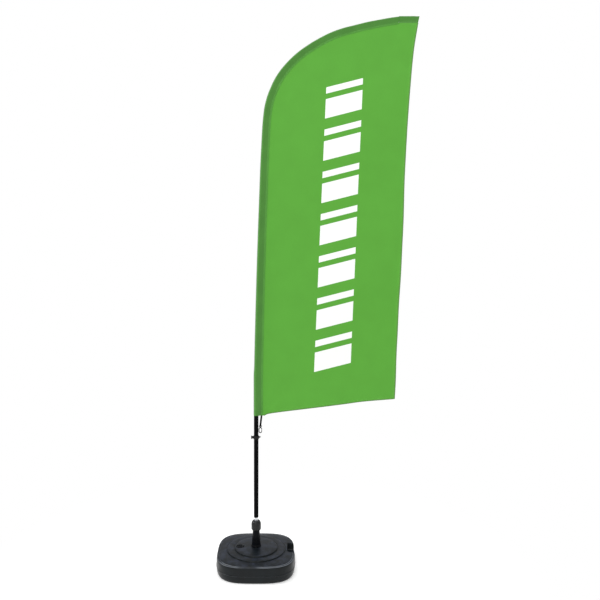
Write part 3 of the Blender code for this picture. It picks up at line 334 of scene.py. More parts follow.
def make_effects():
    """Weave, grain, wear, dust with a painted bluish reflection on upward faces, and tool marks, each built
    once.
    """
    sheet, source, result = effect("plain_weave", {"Pitch": 0.0004}, ("Height", "Mottle"))
    apart = sheet.axes(source["Place"])
    turns = sheet.maths("DIVIDE", math.tau, source["Pitch"])
    warp = sheet.maths("SINE", sheet.maths("MULTIPLY", apart["X"], turns))
    weft = sheet.maths("SINE", sheet.maths("MULTIPLY", apart["Z"], turns))
    crossing = sheet.maths("MULTIPLY", warp, weft)
    slub = sheet.noise(sheet.stretched(source["Place"], (900.0, 900.0, 60.0)), 1.0, 2.0)
    threads = sheet.maths("MULTIPLY_ADD", crossing, 0.4)
    threads.node.inputs[2].default_value = 0.5
    sheet.put(sheet.maths("ADD", threads, sheet.maths("MULTIPLY", slub, 0.3)), result["Height"])
    sheet.put(sheet.noise(source["Place"], 9.0, 4.0), result["Mottle"])

    sheet, source, result = effect("moulded_grain", {"Grain size": 0.0009}, ("Height", "Blotch"))
    fine = sheet.noise(source["Place"], sheet.maths("DIVIDE", 1.0, source["Grain size"]), 2.0)
    ripple = sheet.noise(source["Place"], 60.0, 2.0)
    sheet.put(sheet.maths("ADD", fine, sheet.maths("MULTIPLY", ripple, 0.35)), result["Height"])
    sheet.put(sheet.noise(source["Place"], 18.0, 5.0, 0.6), result["Blotch"])

    sheet, source, result = effect("worn_edges", {"Reach": 0.05, "Patches": 90.0}, ("Mask",))
    shape = sheet.node("ShaderNodeNewGeometry").outputs["Pointiness"]
    over = sheet.maths("SUBTRACT", shape, 0.505)
    edge = sheet.maths("DIVIDE", over, source["Reach"], clamp=True)
    patch = sheet.ramp(sheet.noise(source["Place"], source["Patches"], 4.0, 0.65), 0.42, 0.66)
    sheet.put(sheet.maths("MULTIPLY", edge, patch), result["Mask"])

    # Real dust plus painted light: a bluish tint on upward faces, in clouds and specks, that stands in for a
    # sky reflection.
    sheet, source, result = effect("dust_and_sky_sheen", {"Amount": 0.3}, ("Mask",))
    facing = sheet.axes(sheet.node("ShaderNodeNewGeometry").outputs["Normal"])
    upward = sheet.ramp(facing["Z"], 0.35, 0.98)
    cloud = sheet.ramp(sheet.noise(source["Place"], 24.0, 6.0, 0.7), 0.38, 0.72)
    specks = sheet.ramp(sheet.noise(source["Place"], 900.0, 1.0), 0.62, 0.72)
    spread = sheet.maths("ADD", sheet.maths("MULTIPLY", cloud, 0.6), sheet.maths("MULTIPLY", specks, 0.5))
    lying = sheet.maths("MULTIPLY", upward, spread)
    sheet.put(sheet.maths("MULTIPLY", lying, source["Amount"], clamp=True), result["Mask"])

    sheet, source, result = effect("turned_lines", {"Lines per metre": 2500.0}, ("Height", "Tone"))
    apart = sheet.axes(source["Place"])
    high = sheet.node("ShaderNodeCombineXYZ")
    sheet.put(sheet.maths("MULTIPLY", apart["Z"], source["Lines per metre"]), high.inputs["Z"])
    line = sheet.noise(high.outputs[0], 1.0, 3.0, 0.7)
    sheet.put(line, result["Height"])
    sheet.put(sheet.noise(source["Place"], 140.0, 4.0), result["Tone"])


def shade(red, green, blue):
    """A colour from 0 to 255 values as the eye sees them."""
    linear = []
    for value in (red, green, blue):
        share = value / 255
        linear.append(share / 12.92 if share <= 0.04045 else ((share + 0.055) / 1.055) ** 2.4)
    return (*linear, 1.0)


def blank_material(name):
    made = bpy.data.materials.new(name)
    made.use_nodes = True
    sheet = Sheet(made.node_tree)
    return made, sheet, made.node_tree.nodes["Principled BSDF"].inputs


def bump(sheet, height, strength, depth):
    """A normal from a height from 0 to 1, that deep in metres."""
    made = sheet.node("ShaderNodeBump")
    made.inputs["Strength"].default_value = strength
    made.inputs["Distance"].default_value = depth
    sheet.put(height, made.inputs["Height"])
    return made.outputs["Normal"]


def moulded(name, dark, light, gloss, grain, depth, wear, dust_sheen_amount, specular=0.5, highlight_mask=None):
    """Moulded plastic: satin grain, blotches, rubbed edges, a little dust that also paints a bluish sky
    reflection on upward faces, and a painted highlight where one is given.
    """
    made, sheet, shader = blank_material(name)
    place = sheet.place()
    surface = sheet.group("moulded_grain", Place=place, Grain_size=grain)
    worn = sheet.group("worn_edges", Place=place)["Mask"]
    dust_sheen_mask = sheet.group("dust_and_sky_sheen", Place=place, Amount=dust_sheen_amount)["Mask"]
    body = sheet.mix(sheet.ramp(surface["Blotch"], 0.3, 0.7), dark, light)
    rubbed = tuple(min(1.0, channel * 2.6 + 0.02) for channel in light[:3]) + (1.0,)
    body = sheet.mix(sheet.maths("MULTIPLY", worn, wear), body, rubbed)
    # A painted highlight in light grey-blue, where a highlight mask is given.
    if highlight_mask is not None:
        body = sheet.mix(highlight_mask(sheet, place), body, shade(138, 143, 150))
    # Dust mixed with a painted bluish reflection on faces that look up.
    sheet.put(sheet.mix(dust_sheen_mask, body, shade(120, 132, 165)), shader["Base Color"])
    polish = sheet.ramp(surface["Blotch"], 0.25, 0.75, gloss[0], gloss[1])
    sheet.put(sheet.maths("ADD", polish, sheet.maths("MULTIPLY", dust_sheen_mask, 0.35)), shader["Roughness"])
    sheet.put(bump(sheet, surface["Height"], 0.5, depth), shader["Normal"])
    shader["Specular IOR Level"].default_value = specular
    return made


def metal(name, dark, light, gloss, lines, depth, wear=0.3):
    """Metal with the marks of the tool that turned or drew it."""
    made, sheet, shader = blank_material(name)
    place = sheet.place()
    marks = sheet.group("turned_lines", Place=place, Lines_per_metre=lines)
    worn = sheet.group("worn_edges", Place=place)["Mask"]
    body = sheet.mix(sheet.ramp(marks["Tone"], 0.3, 0.7), dark, light)
    bright = tuple(min(1.0, channel * 1.6 + 0.03) for channel in light[:3]) + (1.0,)
    sheet.put(sheet.mix(sheet.maths("MULTIPLY", worn, wear), body, bright), shader["Base Color"])
    sheet.put(sheet.ramp(marks["Tone"], 0.25, 0.75, gloss[0], gloss[1]), shader["Roughness"])
    sheet.put(bump(sheet, marks["Height"], 0.4, depth), shader["Normal"])
    shader["Metallic"].default_value = 1.0
    return made


def woven(name, dark, light, pitch, depth, sheen, marks=None):
    """Cloth or webbing: a plain weave with a soft mottle, and printed marks where given."""
    made, sheet, shader = blank_material(name)
    place = sheet.place()
    cloth = sheet.group("plain_weave", Place=place, Pitch=pitch)
    body = sheet.mix(sheet.ramp(cloth["Mottle"], 0.3, 0.7), dark, light)
    thread = sheet.ramp(cloth["Height"], 0.1, 0.9, 0.0, 0.10)
    body = sheet.mix(thread, body, tuple(channel * 0.35 for channel in dark[:3]) + (1.0,))
    if marks is not None:
        body = sheet.mix(marks(sheet, place), body, shade(246, 248, 245))
    sheet.put(body, shader["Base Color"])
    sheet.put(sheet.ramp(cloth["Mottle"], 0.2, 0.8, 0.70, 0.84), shader["Roughness"])
    sheet.put(bump(sheet, cloth["Height"], 0.45, depth), shader["Normal"])
    shader["Sheen Weight"].default_value = sheen
    shader["Sheen Roughness"].default_value = 0.5
    shader["Specular IOR Level"].default_value = 0.25
    return made


def painted_rim_highlight(sheet, place):
    """A mask for a painted highlight along the tank's upper rim edge, in patches."""
    apart = sheet.axes(place)
    low = sheet.ramp(apart["Z"], FOOT_RIM_Z - 2.4 * MM, FOOT_RIM_Z - 1.4 * MM)
    high = sheet.ramp(apart["Z"], FOOT_RIM_Z - 0.3 * MM, FOOT_RIM_Z + 0.3 * MM, 1.0, 0.0)
    patch = sheet.ramp(sheet.noise(place, 7.0, 2.0), 0.42, 0.60, 0.1, 0.65)
    return sheet.maths("MULTIPLY", sheet.maths("MULTIPLY", low, high), patch)


def printed_marks(sheet, place):
    """A mask for the column of slanted bars, a broad one and a narrow one in each mark."""
    up = (MARKS_HIGH - MARKS_LOW).normalized()
    side = Vector((up.z, 0.0, -up.x))
    pitch = (MARKS_HIGH - MARKS_LOW).length / MARK_COUNT
    rise = sheet.along(place, MARKS_LOW, up)
    across = sheet.along(place, MARKS_LOW, side)
    slanted = sheet.maths("SUBTRACT", rise, sheet.maths("MULTIPLY", across, MARK_SLANT))
    step = sheet.maths("FRACT", sheet.maths("DIVIDE", slanted, pitch))
    broad = sheet.maths("LESS_THAN", step, 0.46)
    narrow = sheet.maths("COMPARE", step, 0.665)
    narrow.node.inputs[2].default_value = 0.075
    bars = sheet.maths("MAXIMUM", broad, narrow)
    inside = sheet.maths("LESS_THAN", sheet.maths("ABSOLUTE", across), MARK_WIDTH / 2)
    total = pitch * MARK_COUNT
    span = sheet.maths("MULTIPLY", sheet.maths("GREATER_THAN", slanted, 0.0),
                       sheet.maths("LESS_THAN", slanted, total - 0.2 * pitch))
    return sheet.maths("MULTIPLY", bars, sheet.maths("MULTIPLY", inside, span))


def make_materials():
    """Every finish, by the record's material slot."""
    finishes = {
        # The tank's top gets the most dust with painted bluish reflection, and its rim gets a painted
        # highlight.
        "tank_plastic": moulded("tank_satin", shade(8, 12, 14), shade(14, 20, 23), (0.30, 0.42),
                                0.8 * MM, 0.05 * MM, 0.45, 0.17, 0.20, painted_rim_highlight),
        "neck_plastic": moulded("neck_gloss", shade(3, 4, 7), shade(6, 8, 14), (0.20, 0.30),
                                0.6 * MM, 0.02 * MM, 0.2, 0.02, 0.08),
        "nut_plastic": moulded("nut_grey", shade(20, 21, 21), shade(32, 33, 33), (0.26, 0.36),
                               0.5 * MM, 0.04 * MM, 0.5, 0.05, 0.28),
        "nylon": moulded("white_nylon", shade(214, 212, 204), shade(230, 228, 220), (0.38, 0.50),
                         0.5 * MM, 0.02 * MM, 0.1, 0.05),
        "rubber": moulded("black_rubber", shade(22, 22, 23), shade(34, 34, 35), (0.72, 0.86),
                          0.7 * MM, 0.05 * MM, 0.2, 0.12, 0.3),
        "glass_fibre": moulded("glass_fibre", shade(30, 30, 32), shade(44, 44, 46), (0.24, 0.36),
                               0.4 * MM, 0.02 * MM, 0.2, 0.0),
        "black_tube": moulded("black_coating", shade(2, 2, 3), shade(5, 5, 6), (0.44, 0.56),
                              0.5 * MM, 0.02 * MM, 0.2, 0.0, 0.05),
        "steel": metal("zinc_steel", shade(196, 198, 202), shade(220, 222, 225), (0.20, 0.34),
                       3000.0, 0.006 * MM),
        "bearing_steel": metal("bearing_steel", shade(205, 206, 210), shade(226, 227, 230),
                               (0.10, 0.18), 4000.0, 0.002 * MM),
        "brass": metal("brass", shade(190, 150, 84), shade(212, 172, 104), (0.24, 0.38), 3000.0,
                       0.005 * MM),
        "dark_steel": moulded("blackened_steel", shade(10, 10, 11), shade(18, 18, 20), (0.30, 0.40),
                              0.4 * MM, 0.02 * MM, 0.7, 0.0, 0.22),
        "flag_cloth": woven("flag_polyester", shade(88, 164, 53), shade(91, 168, 57), 0.42 * MM,
                            0.05 * MM, 0.10, printed_marks),
        "sleeve_cloth": woven("sleeve_polyester", shade(66, 128, 42), shade(72, 136, 47), 0.42 * MM,
                              0.06 * MM, 0.55),
        "webbing": woven("strap_webbing", shade(6, 6, 7), shade(13, 13, 14), 0.9 * MM,
                         0.16 * MM, 0.05),
    }
    extras = {
        "collar_plastic": moulded("collar_black", shade(7, 7, 8), shade(13, 13, 14), (0.30, 0.42),
                                  0.5 * MM, 0.04 * MM, 0.4, 0.03, 0.25),
        "hem_cloth": woven("hem_polyester", shade(94, 152, 62), shade(98, 157, 66), 0.42 * MM,
                           0.05 * MM, 0.15),
        "lap_cloth": woven("lap_polyester", shade(76, 142, 52), shade(82, 149, 57), 0.42 * MM,
                           0.05 * MM, 0.12),
        "edge_thread": woven("edge_thread", shade(44, 88, 30), shade(56, 104, 38), 0.5 * MM,
                             0.10 * MM, 0.10),
        "seam_thread": woven("seam_thread", shade(120, 190, 96), shade(136, 204, 112), 0.3 * MM,
                             0.06 * MM, 0.20),
        # A dark strip that paints the shade where the sleeve's cloth turns away at its outer edge.
        "edge_shade_cloth": woven("edge_shade_cloth", shade(26, 44, 22), shade(38, 58, 32), 0.5 * MM,
                              0.08 * MM, 0.10),
    }
    return finishes, extras


# --- mesh building --------------------------------------------------------------------------------
def tidy_mesh(name, shape, sharp=35):
    """Weld, face outwards, and shade smooth apart from real edges."""
    bmesh.ops.remove_doubles(shape, verts=list(shape.verts), dist=2 * WELD)
    bmesh.ops.recalc_face_normals(shape, faces=list(shape.faces))
    mesh = bpy.data.meshes.new(name)
    shape.to_mesh(mesh)
    shape.free()
    mesh.shade_smooth()
    mesh.set_sharp_from_angle(angle=math.radians(sharp))
    return mesh


def join_rows(shape, rows, around=True):
    """Add rows of corners and the faces between them; around joins each row's ends."""
    grid = [[shape.verts.new(point) for point in row] for row in rows]
    count = len(grid[0])
    for row, following in zip(grid, grid[1:]):
        for i in range(count if around else count - 1):
            j = (i + 1) % count
            shape.faces.new((row[i], row[j], following[j], following[i]))
    return grid


def on_circle(radius, angle):
    return radius * math.cos(angle), radius * math.sin(angle)


def turned(name, rows, sharp):
    """A mesh from rings of (radius, height) pairs set out evenly round Z."""
    placed = []
    for ring in rows:
        angles = [math.tau * i / len(ring) for i in range(len(ring))]
        placed.append([(*on_circle(radius, angle), height)
                       for angle, (radius, height) in zip(angles, ring)])
    shape = bmesh.new()
    join_rows(shape, placed)
    bmesh.ops.remove_doubles(shape, verts=list(shape.verts), dist=WELD)
    bmesh.ops.dissolve_degenerate(shape, dist=WELD, edges=list(shape.edges))
    return tidy_mesh(name, shape, sharp)


def skin(name, rows, around=False, caps=False, sharp=35):
    """A mesh through rows of equal length; around closes each row, caps fills both ends."""
    shape = bmesh.new()
    grid = join_rows(shape, rows, around)
    if caps:
        shape.faces.new(grid[0])
        shape.faces.new(grid[-1])
    return tidy_mesh(name, shape, sharp)


def soften(points, reach, steps=4):
    """Round a line's inner corners, each from a reach before it to a reach after it."""
    line = [Vector(points[0])]
    for i in range(1, len(points) - 1):
        before, corner, after = Vector(points[i - 1]), Vector(points[i]), Vector(points[i + 1])
        back = before - corner
        ahead = after - corner
        start = corner + back.normalized() * min(reach, back.length * 0.45)
        stop = corner + ahead.normalized() * min(reach, ahead.length * 0.45)
        for step in range(steps + 1):
            t = step / steps
            line.append(start * (1 - t) ** 2 + corner * 2 * t * (1 - t) + stop * t**2)
    line.append(Vector(points[-1]))
    return line


def lathe(name, profile, segments=64, rounding=0.0, ring=False, sharp=35):
    """Turn a profile of (radius, height) once round Z; a ring's profile closes on itself."""
    line = [Vector(point) for point in profile]
    if ring:
        middle = (line[0] + line[-1]) / 2
        line = soften([middle, *line, middle], rounding) if rounding else [*line, line[0]]
    elif rounding:
        line = soften(line, rounding)
    return turned(name, [[(point.x, point.y)] * segments for point in line], sharp)


def cylinder(name, radius, low, high, segments=32, rounding=0.0):
    return lathe(name, [(0.0, low), (radius, low), (radius, high), (0.0, high)], segments, rounding)


def aimed(mesh, place, along):
    """Tip a mesh so that its Z runs along a vector, then move it to a place."""
    turn = Vector(along).to_track_quat("Z", "Y").to_matrix().to_4x4()
    mesh.transform(Matrix.Translation(place) @ turn)
    return mesh


def block(name, low, high, rounding=0.0, segments=4):
    """A box between two corners with rounded edges."""
    shape = bmesh.new()
    low, high = Vector(low), Vector(high)
    matrix = Matrix.Translation((low + high) / 2) @ Matrix.Diagonal((*(high - low), 1.0))
    bmesh.ops.create_cube(shape, size=1.0, matrix=matrix)
    if rounding:
        bmesh.ops.bevel(shape, geom=list(shape.edges), offset=rounding, segments=segments,
                        profile=0.5, affect="EDGES")
    return tidy_mesh(name, shape)


def wire(name, points, radius, sides=16, closed=False, flat=1.0):
    """A round wire through points with domed ends; flat squashes it along Y."""
    line = [Vector(point) for point in points]
    radii = [radius] * len(line)
    if not closed:
        first, last = line[0], line[-1]
        back = (first - line[1]).normalized()
        on = (last - line[-2]).normalized()
        dome = [math.radians(angle) for angle in (80, 55, 28)]
        line = ([first + back * radius * math.sin(a) for a in dome] + line
                + [last + on * radius * math.sin(a) for a in reversed(dome)])
        radii = ([radius * math.cos(a) for a in dome] + radii
                 + [radius * math.cos(a) for a in reversed(dome)])
    rows = []
    count = len(line)
    for i, point in enumerate(line):
        if closed:
            tangent = line[(i + 1) % count] - line[i - 1]
        else:
            tangent = line[min(i + 1, count - 1)] - line[max(i - 1, 0)]
        tangent.normalize()
        side = Vector((0.0, 1.0, 0.0))
        other = tangent.cross(side).normalized()
        row = []
        for k in range(sides):
            angle = math.tau * k / sides
            row.append(point + other * (radii[i] * math.cos(angle))
                       + side * (radii[i] * flat * math.sin(angle)))
        rows.append(row)
    if closed:
        rows.append(rows[0])
    return skin(name, rows, around=True, caps=not closed)


def boolean(mesh, tool, operation):
    """Join a tool to a mesh or cut it out, and return the new mesh."""
    holder = bpy.data.objects.new("boolean_holder", mesh)
    cutter = bpy.data.objects.new("boolean_cutter", tool)
    bpy.context.scene.collection.objects.link(holder)
    bpy.context.scene.collection.objects.link(cutter)
    step = holder.modifiers.new("step", "BOOLEAN")
    step.operation = operation
    step.solver = "EXACT"
    step.object = cutter
    return settled(holder, mesh.name, [cutter])


def settled(holder, name, extras=()):
    """The mesh that an object's modifiers give; the object and its helpers are removed."""
    bpy.context.view_layer.update()
    graph = bpy.context.evaluated_depsgraph_get()
    mesh = bpy.data.meshes.new_from_object(holder.evaluated_get(graph))
    for used in (holder, *extras):
        bpy.data.objects.remove(used, do_unlink=True)
    mesh.name = name
    return mesh


def fused(name, solids, cuts=(), voxel=0.4 * MM, passes=3):
    """Solids grown into one body, cut, and smoothed as if moulded or cast in one piece."""
    mesh = solids[0]
    for solid in solids[1:]:
        mesh = boolean(mesh, solid, "UNION")
    for tool in cuts:
        mesh = boolean(mesh, tool, "DIFFERENCE")
    holder = bpy.data.objects.new(name, mesh)
    bpy.context.scene.collection.objects.link(holder)
    remesh = holder.modifiers.new("body", "REMESH")
    remesh.mode = "VOXEL"
    remesh.voxel_size = voxel
    relax = holder.modifiers.new("relax", "SMOOTH")
    relax.factor = 0.5
    relax.iterations = passes
    mesh = settled(holder, name)
    mesh.shade_smooth()
    return mesh


def add_piece(name, mesh, material, body, nodes=()):
    """Put a finished mesh on a body, in place of the frame's nodes that it stands for."""
    mesh.materials.clear()
    mesh.materials.append(material)
    piece = bpy.data.objects.new(name, mesh)
    PIECES.objects.link(piece)
    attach(piece, body)
    if nodes:
        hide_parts(*nodes)
    return piece


# --- the mast's line --------------------------------------------------------------------------------
def smooth_line(points, per_span):
    """A smooth line through 2D points, as the frame's own mast and edges follow."""
    knots = [Vector(point) for point in points]
    knots.insert(0, knots[0] * 2 - knots[1])
    knots.append(knots[-1] * 2 - knots[-2])
    line = []
    for i in range(1, len(knots) - 2):
        before, start, stop, after = knots[i - 1:i + 3]
        reach = (stop - start).length
        leave = (stop - before) * (reach / max(reach + (start - before).length, 1e-9))
        arrive = (after - start) * (reach / max((after - stop).length + reach, 1e-9))
        for step in range(per_span):
            t = step / per_span
            line.append(start * (2 * t**3 - 3 * t**2 + 1) + leave * (t**3 - 2 * t**2 + t)
                        + stop * (3 * t**2 - 2 * t**3) + arrive * (t**3 - t**2))
    line.append(knots[-2].copy())
    return line


class Line:
    """A 2D line in the XZ plane, measured by the length along it."""

    def __init__(self, points, per_span=24):
        self.points = smooth_line(points, per_span)
        self.marks = [0.0]
        for start, stop in zip(self.points, self.points[1:]):
            self.marks.append(self.marks[-1] + (stop - start).length)
        self.length = self.marks[-1]

    def at(self, distance):
        for i in range(1, len(self.marks)):
            if self.marks[i] >= distance:
                break
        share = (distance - self.marks[i - 1]) / (self.marks[i] - self.marks[i - 1])
        return self.points[i - 1].lerp(self.points[i], share)

    def inward(self, distance):
        """The unit vector from the mast towards the cloth."""
        low = self.at(max(distance - 0.01, 0.0))
        high = self.at(min(distance + 0.01, self.length))
        along = (high - low).normalized()
        return Vector((along.y, -along.x))

    def distance_at(self, test):
        for mark, point in zip(self.marks, self.points):
            if test(point):
                return mark
        return self.length

    def across_at(self, height):
        """The line's X where it first reaches a height."""
        for start, stop in zip(self.points, self.points[1:]):
            if start.y <= height <= stop.y:
                return start.x + (stop.x - start.x) * (height - start.y) / max(stop.y - start.y, 1e-9)
        return self.points[-1].x if height > self.points[-1].y else self.points[0].x


MAST = Line(MAST_POINTS)
SLEEVE_LOW = MAST.distance_at(lambda point: point.y >= SLEEVE_LOW_Z)
SLEEVE_HIGH = MAST.distance_at(lambda point: point.x >= SLEEVE_END_X)
SLEEVE_LENGTH = SLEEVE_HIGH - SLEEVE_LOW


def taper(place, ends):
    share = (place - SLEEVE_LOW) / SLEEVE_LENGTH
    return ends[0] + (ends[1] - ends[0]) * share


def sleeve_radius(place):
    """The channel's radius: wide over the lower tube, then drawn in over the rods."""
    height = MAST.at(place).y
    low, high = SLEEVE_WAIST_Z
    share = max(0.0, min(1.0, (height - low) / (high - low)))
    share = share * share * (3 - 2 * share)
    return SLEEVE_LOW_R + (taper(place, SLEEVE_R) - SLEEVE_LOW_R) * share


def beside_mast(place, reach, side=0.0):
    """A point at a distance along the mast, that far towards the cloth and off its plane."""
    spot = MAST.at(place) + MAST.inward(place) * reach
    return Vector((min(spot.x, SLEEVE_END_X), side, spot.y))


def stations(low, high, step):
    count = max(int(round((high - low) / step)), 1)
    return [low + (high - low) * i / count for i in range(count + 1)]


# --- sewing ------------------------------------------------------------------------------------------
def stitch_row(name, line, side, material, body, pitch=3.4 * MM, length=2.5 * MM, width=0.55 * MM):
    """Separate thread stitches along a line of points, each a small bead lying on the cloth."""
    shape = bmesh.new()
    marks = [0.0]
    for start, stop in zip(line, line[1:]):
        marks.append(marks[-1] + (stop - start).length)
    up = Vector((0.0, side, 0.0))
    rings = ((0.0, 0.25), (0.18, 0.85), (0.5, 1.0), (0.82, 0.85), (1.0, 0.25))
    sides = 6
    index = 1
    for n in range(int((marks[-1] - length) / pitch)):
        start = n * pitch + 0.5 * pitch
        spots = []
        for share, _ in rings:
            here = start + share * length
            while index < len(marks) - 1 and marks[index] < here:
                index += 1
            while index > 1 and marks[index - 1] > here:
                index -= 1
            part = (here - marks[index - 1]) / max(marks[index] - marks[index - 1], 1e-9)
            spots.append(line[index - 1].lerp(line[index], part))
        tangent = (spots[-1] - spots[0]).normalized()
        across = tangent.cross(up).normalized()
        loops = []
        for spot, (_, swell) in zip(spots, rings):
            half = width / 2 * swell
            loops.append([spot + across * (half * math.cos(math.tau * k / sides))
                          + up * (half * 0.8 * math.sin(math.tau * k / sides)) for k in range(sides)])
        grid = join_rows(shape, loops)
        shape.faces.new(grid[0])
        shape.faces.new(grid[-1])
    return add_piece(name, tidy_mesh(name, shape, 80), material, body)


# --- foot ----------------------------------------------------------------------------------------------
def reach_of(half_x, half_y, squareness, angle):
    return (abs(math.cos(angle) / half_x) ** squareness
            + abs(math.sin(angle) / half_y) ** squareness) ** (-1 / squareness)


def tank_skin(name, levels, rounding=1.2 * MM, steps=3):
    """A closed skin through levels, each a rounded square (inset) or a circle (radius)."""
    rows = None
    for i in range(FOOT_SEGMENTS):
        angle = math.tau * (i + 0.5) / FOOT_SEGMENTS
        profile = []
        for kind, size, height in levels:
            if kind == "square":
                reach = reach_of(FOOT_HALF_X - size, FOOT_HALF_Y - size, FOOT_SQUARENESS, angle)
            else:
                reach = size
            profile.append((reach, height))
        line = soften(profile, rounding, steps)
        if rows is None:
            rows = [[] for _ in line]
        for row, point in zip(rows, line):
            row.append((*on_circle(point.x, angle), point.y))
    return skin(name, rows, around=True, caps=True, sharp=50)


def make_tank(finishes):
    """The hollow tank: raised round steps, rim groove, parting bead, grip notch and filler hole."""
    outer = [
        ("circle", 60 * MM, 1.6 * MM), ("circle", 120 * MM, 1.6 * MM), ("circle", 126 * MM, 0.0),
        ("square", 13 * MM, 0.0), ("square", 8.4 * MM, 1.6 * MM), ("square", 4.6 * MM, 8 * MM),
        ("square", 2.4 * MM, 16 * MM), ("square", 1.2 * MM, 26 * MM),
        ("square", 0.7 * MM, FOOT_SEAM_Z - 2.0 * MM), ("square", -1.1 * MM, FOOT_SEAM_Z - 0.8 * MM),
        ("square", -1.1 * MM, FOOT_SEAM_Z + 0.8 * MM), ("square", 0.5 * MM, FOOT_SEAM_Z + 2.0 * MM),
        ("square", 0.3 * MM, FOOT_RIM_Z - 14 * MM), ("square", 1.4 * MM, FOOT_RIM_Z - 4 * MM),
        ("square", 4.4 * MM, FOOT_RIM_Z + 0.4 * MM), ("square", 7.6 * MM, FOOT_RIM_Z + 0.6 * MM),
        ("square", 9.4 * MM, FOOT_RIM_Z - 2.2 * MM), ("square", 13.0 * MM, FOOT_RIM_Z - 2.2 * MM),
        ("square", 15.4 * MM, FOOT_RIM_Z + 1.5 * MM), ("square", 28 * MM, FOOT_RIM_Z + 2.8 * MM),
        ("circle", OUTER_STEP_R + 6.5 * MM, OUTER_STEP_Z - 0.3 * MM),
        ("circle", OUTER_STEP_R + 3.8 * MM, OUTER_STEP_Z - STEP_GROOVE),
        ("circle", OUTER_STEP_R + 0.6 * MM, OUTER_STEP_Z - STEP_GROOVE),
        ("circle", OUTER_STEP_R - 1.0 * MM, OUTER_STEP_Z + STEP_RISE),
        ("circle", OUTER_STEP_R - 16 * MM, OUTER_STEP_Z + STEP_RISE + 0.6 * MM),
        ("circle", INNER_STEP_R + 6.0 * MM, INNER_STEP_Z - 0.1 * MM),
        ("circle", INNER_STEP_R + 3.6 * MM, INNER_STEP_Z - STEP_GROOVE),
        ("circle", INNER_STEP_R + 0.6 * MM, INNER_STEP_Z - STEP_GROOVE),
        ("circle", INNER_STEP_R - 1.0 * MM, INNER_STEP_Z + STEP_RISE),
        ("circle", 96 * MM, INNER_STEP_Z + STEP_RISE + 0.9 * MM),
        ("circle", 70 * MM, CROWN_Z - 1.4 * MM), ("circle", 48 * MM, CROWN_Z - 0.5 * MM),
        ("circle", 30 * MM, CROWN_Z), ("circle", WELL_R, CROWN_Z), ("circle", WELL_R, WELL_FLOOR_Z),
    ]
    wall = FOOT_WALL
    inner = [
        ("square", 26 * MM, wall + 2 * MM), ("square", 14 * MM, wall + 8 * MM),
        ("square", 4.6 * MM, 30 * MM), ("square", 4.2 * MM, FOOT_RIM_Z - 15 * MM),
        ("square", 14 * MM, FOOT_RIM_Z - 5.5 * MM), ("square", 22 * MM, FOOT_RIM_Z - 2.6 * MM),
        ("circle", OUTER_STEP_R - 4.5 * MM, OUTER_STEP_Z - wall + 0.6 * MM),
        ("circle", INNER_STEP_R - 4.5 * MM, INNER_STEP_Z - wall + 0.6 * MM),
        ("circle", 60 * MM, CROWN_Z - wall - 3.0 * MM),
        ("circle", WELL_R + wall, CROWN_Z - wall - 1.5 * MM),
        ("circle", WELL_R + wall, WELL_FLOOR_Z - wall),
    ]
    hollow = tank_skin("tank_hollow", inner)
    reach = Vector((wall, wall, wall))
    hollow = boolean(hollow, block("grip_wall", GRIP_LOW - reach, GRIP_HIGH + reach,
                                   GRIP_ROUND + wall, 5), "DIFFERENCE")
    boss = cylinder("filler_boss", FILLER_RECESS_R + wall, 87.5 * MM, 130 * MM, 48)
    hollow = boolean(hollow, aimed(boss, (FILLER_X, 0.0, 0.0), (0.0, 0.0, 1.0)), "DIFFERENCE")
    mesh = boolean(tank_skin("water_tank", outer), hollow, "DIFFERENCE")
    mesh = boolean(mesh, block("grip_notch", GRIP_LOW, GRIP_HIGH, GRIP_ROUND, 6), "DIFFERENCE")
    flare = [
        (0.0, 0.072), (FILLER_HOLE_R, 0.072), (FILLER_HOLE_R, FILLER_RECESS_Z),
        (FILLER_RECESS_R, FILLER_RECESS_Z), (FILLER_RECESS_R, 0.1025), (FILLER_RECESS_R + 3 * MM, 0.1062),
        (FILLER_RECESS_R + 3 * MM, 0.13), (0.0, 0.13),
    ]
    mouth = aimed(lathe("filler_mouth", flare, 64, 1.0 * MM), (FILLER_X, 0.0, 0.0), (0.0, 0.0, 1.0))
    mesh = boolean(mesh, mouth, "DIFFERENCE")
    mesh.shade_smooth()
    mesh.set_sharp_from_angle(angle=math.radians(40))
    add_piece("water_tank", mesh, finishes["tank_plastic"], "foot",
              ("tank_lower_shell", "tank_upper_shell"))


def make_filler_cap(finishes):
    """A ribbed screw cap with a finger bar between two hollows."""
    top = 6.6 * MM
    low = 2.3 * MM
    skirt_r = FILLER_HOLE_R - 0.7 * MM
    solid = lathe("cap_body", [
        (0.0, 1.0 * MM), (12.0 * MM, 1.0 * MM), (12.0 * MM, -9.0 * MM), (skirt_r, -9.0 * MM),
        (skirt_r, low), (19.5 * MM, low), (19.5 * MM, 5.4 * MM), (18.2 * MM, top), (0.0, top),
    ], 72, 0.5 * MM)
    cuts = []
    for side in (-1, 1):
        y = sorted((side * 3.0 * MM, side * 12.5 * MM))
        cuts.append(block("finger_hollow", (-11 * MM, y[0], 3.2 * MM), (11 * MM, y[1], 12 * MM), 2.4 * MM))
    for i in range(28):
        groove = cylinder("cap_groove", 0.75 * MM, -1 * MM, 12 * MM, 8)
        groove.transform(Matrix.Translation((*on_circle(19.9 * MM, math.tau * i / 28), 0)))
        cuts.append(groove)
    mesh = fused("filler_cap_ribbed", [solid], cuts, 0.4 * MM, 2)
    mesh.transform(Matrix.Translation((FILLER_X, 0.0, FILLER_RECESS_Z)))
    add_piece("filler_cap_ribbed", mesh, finishes["neck_plastic"], "cap", ("filler_cap",))


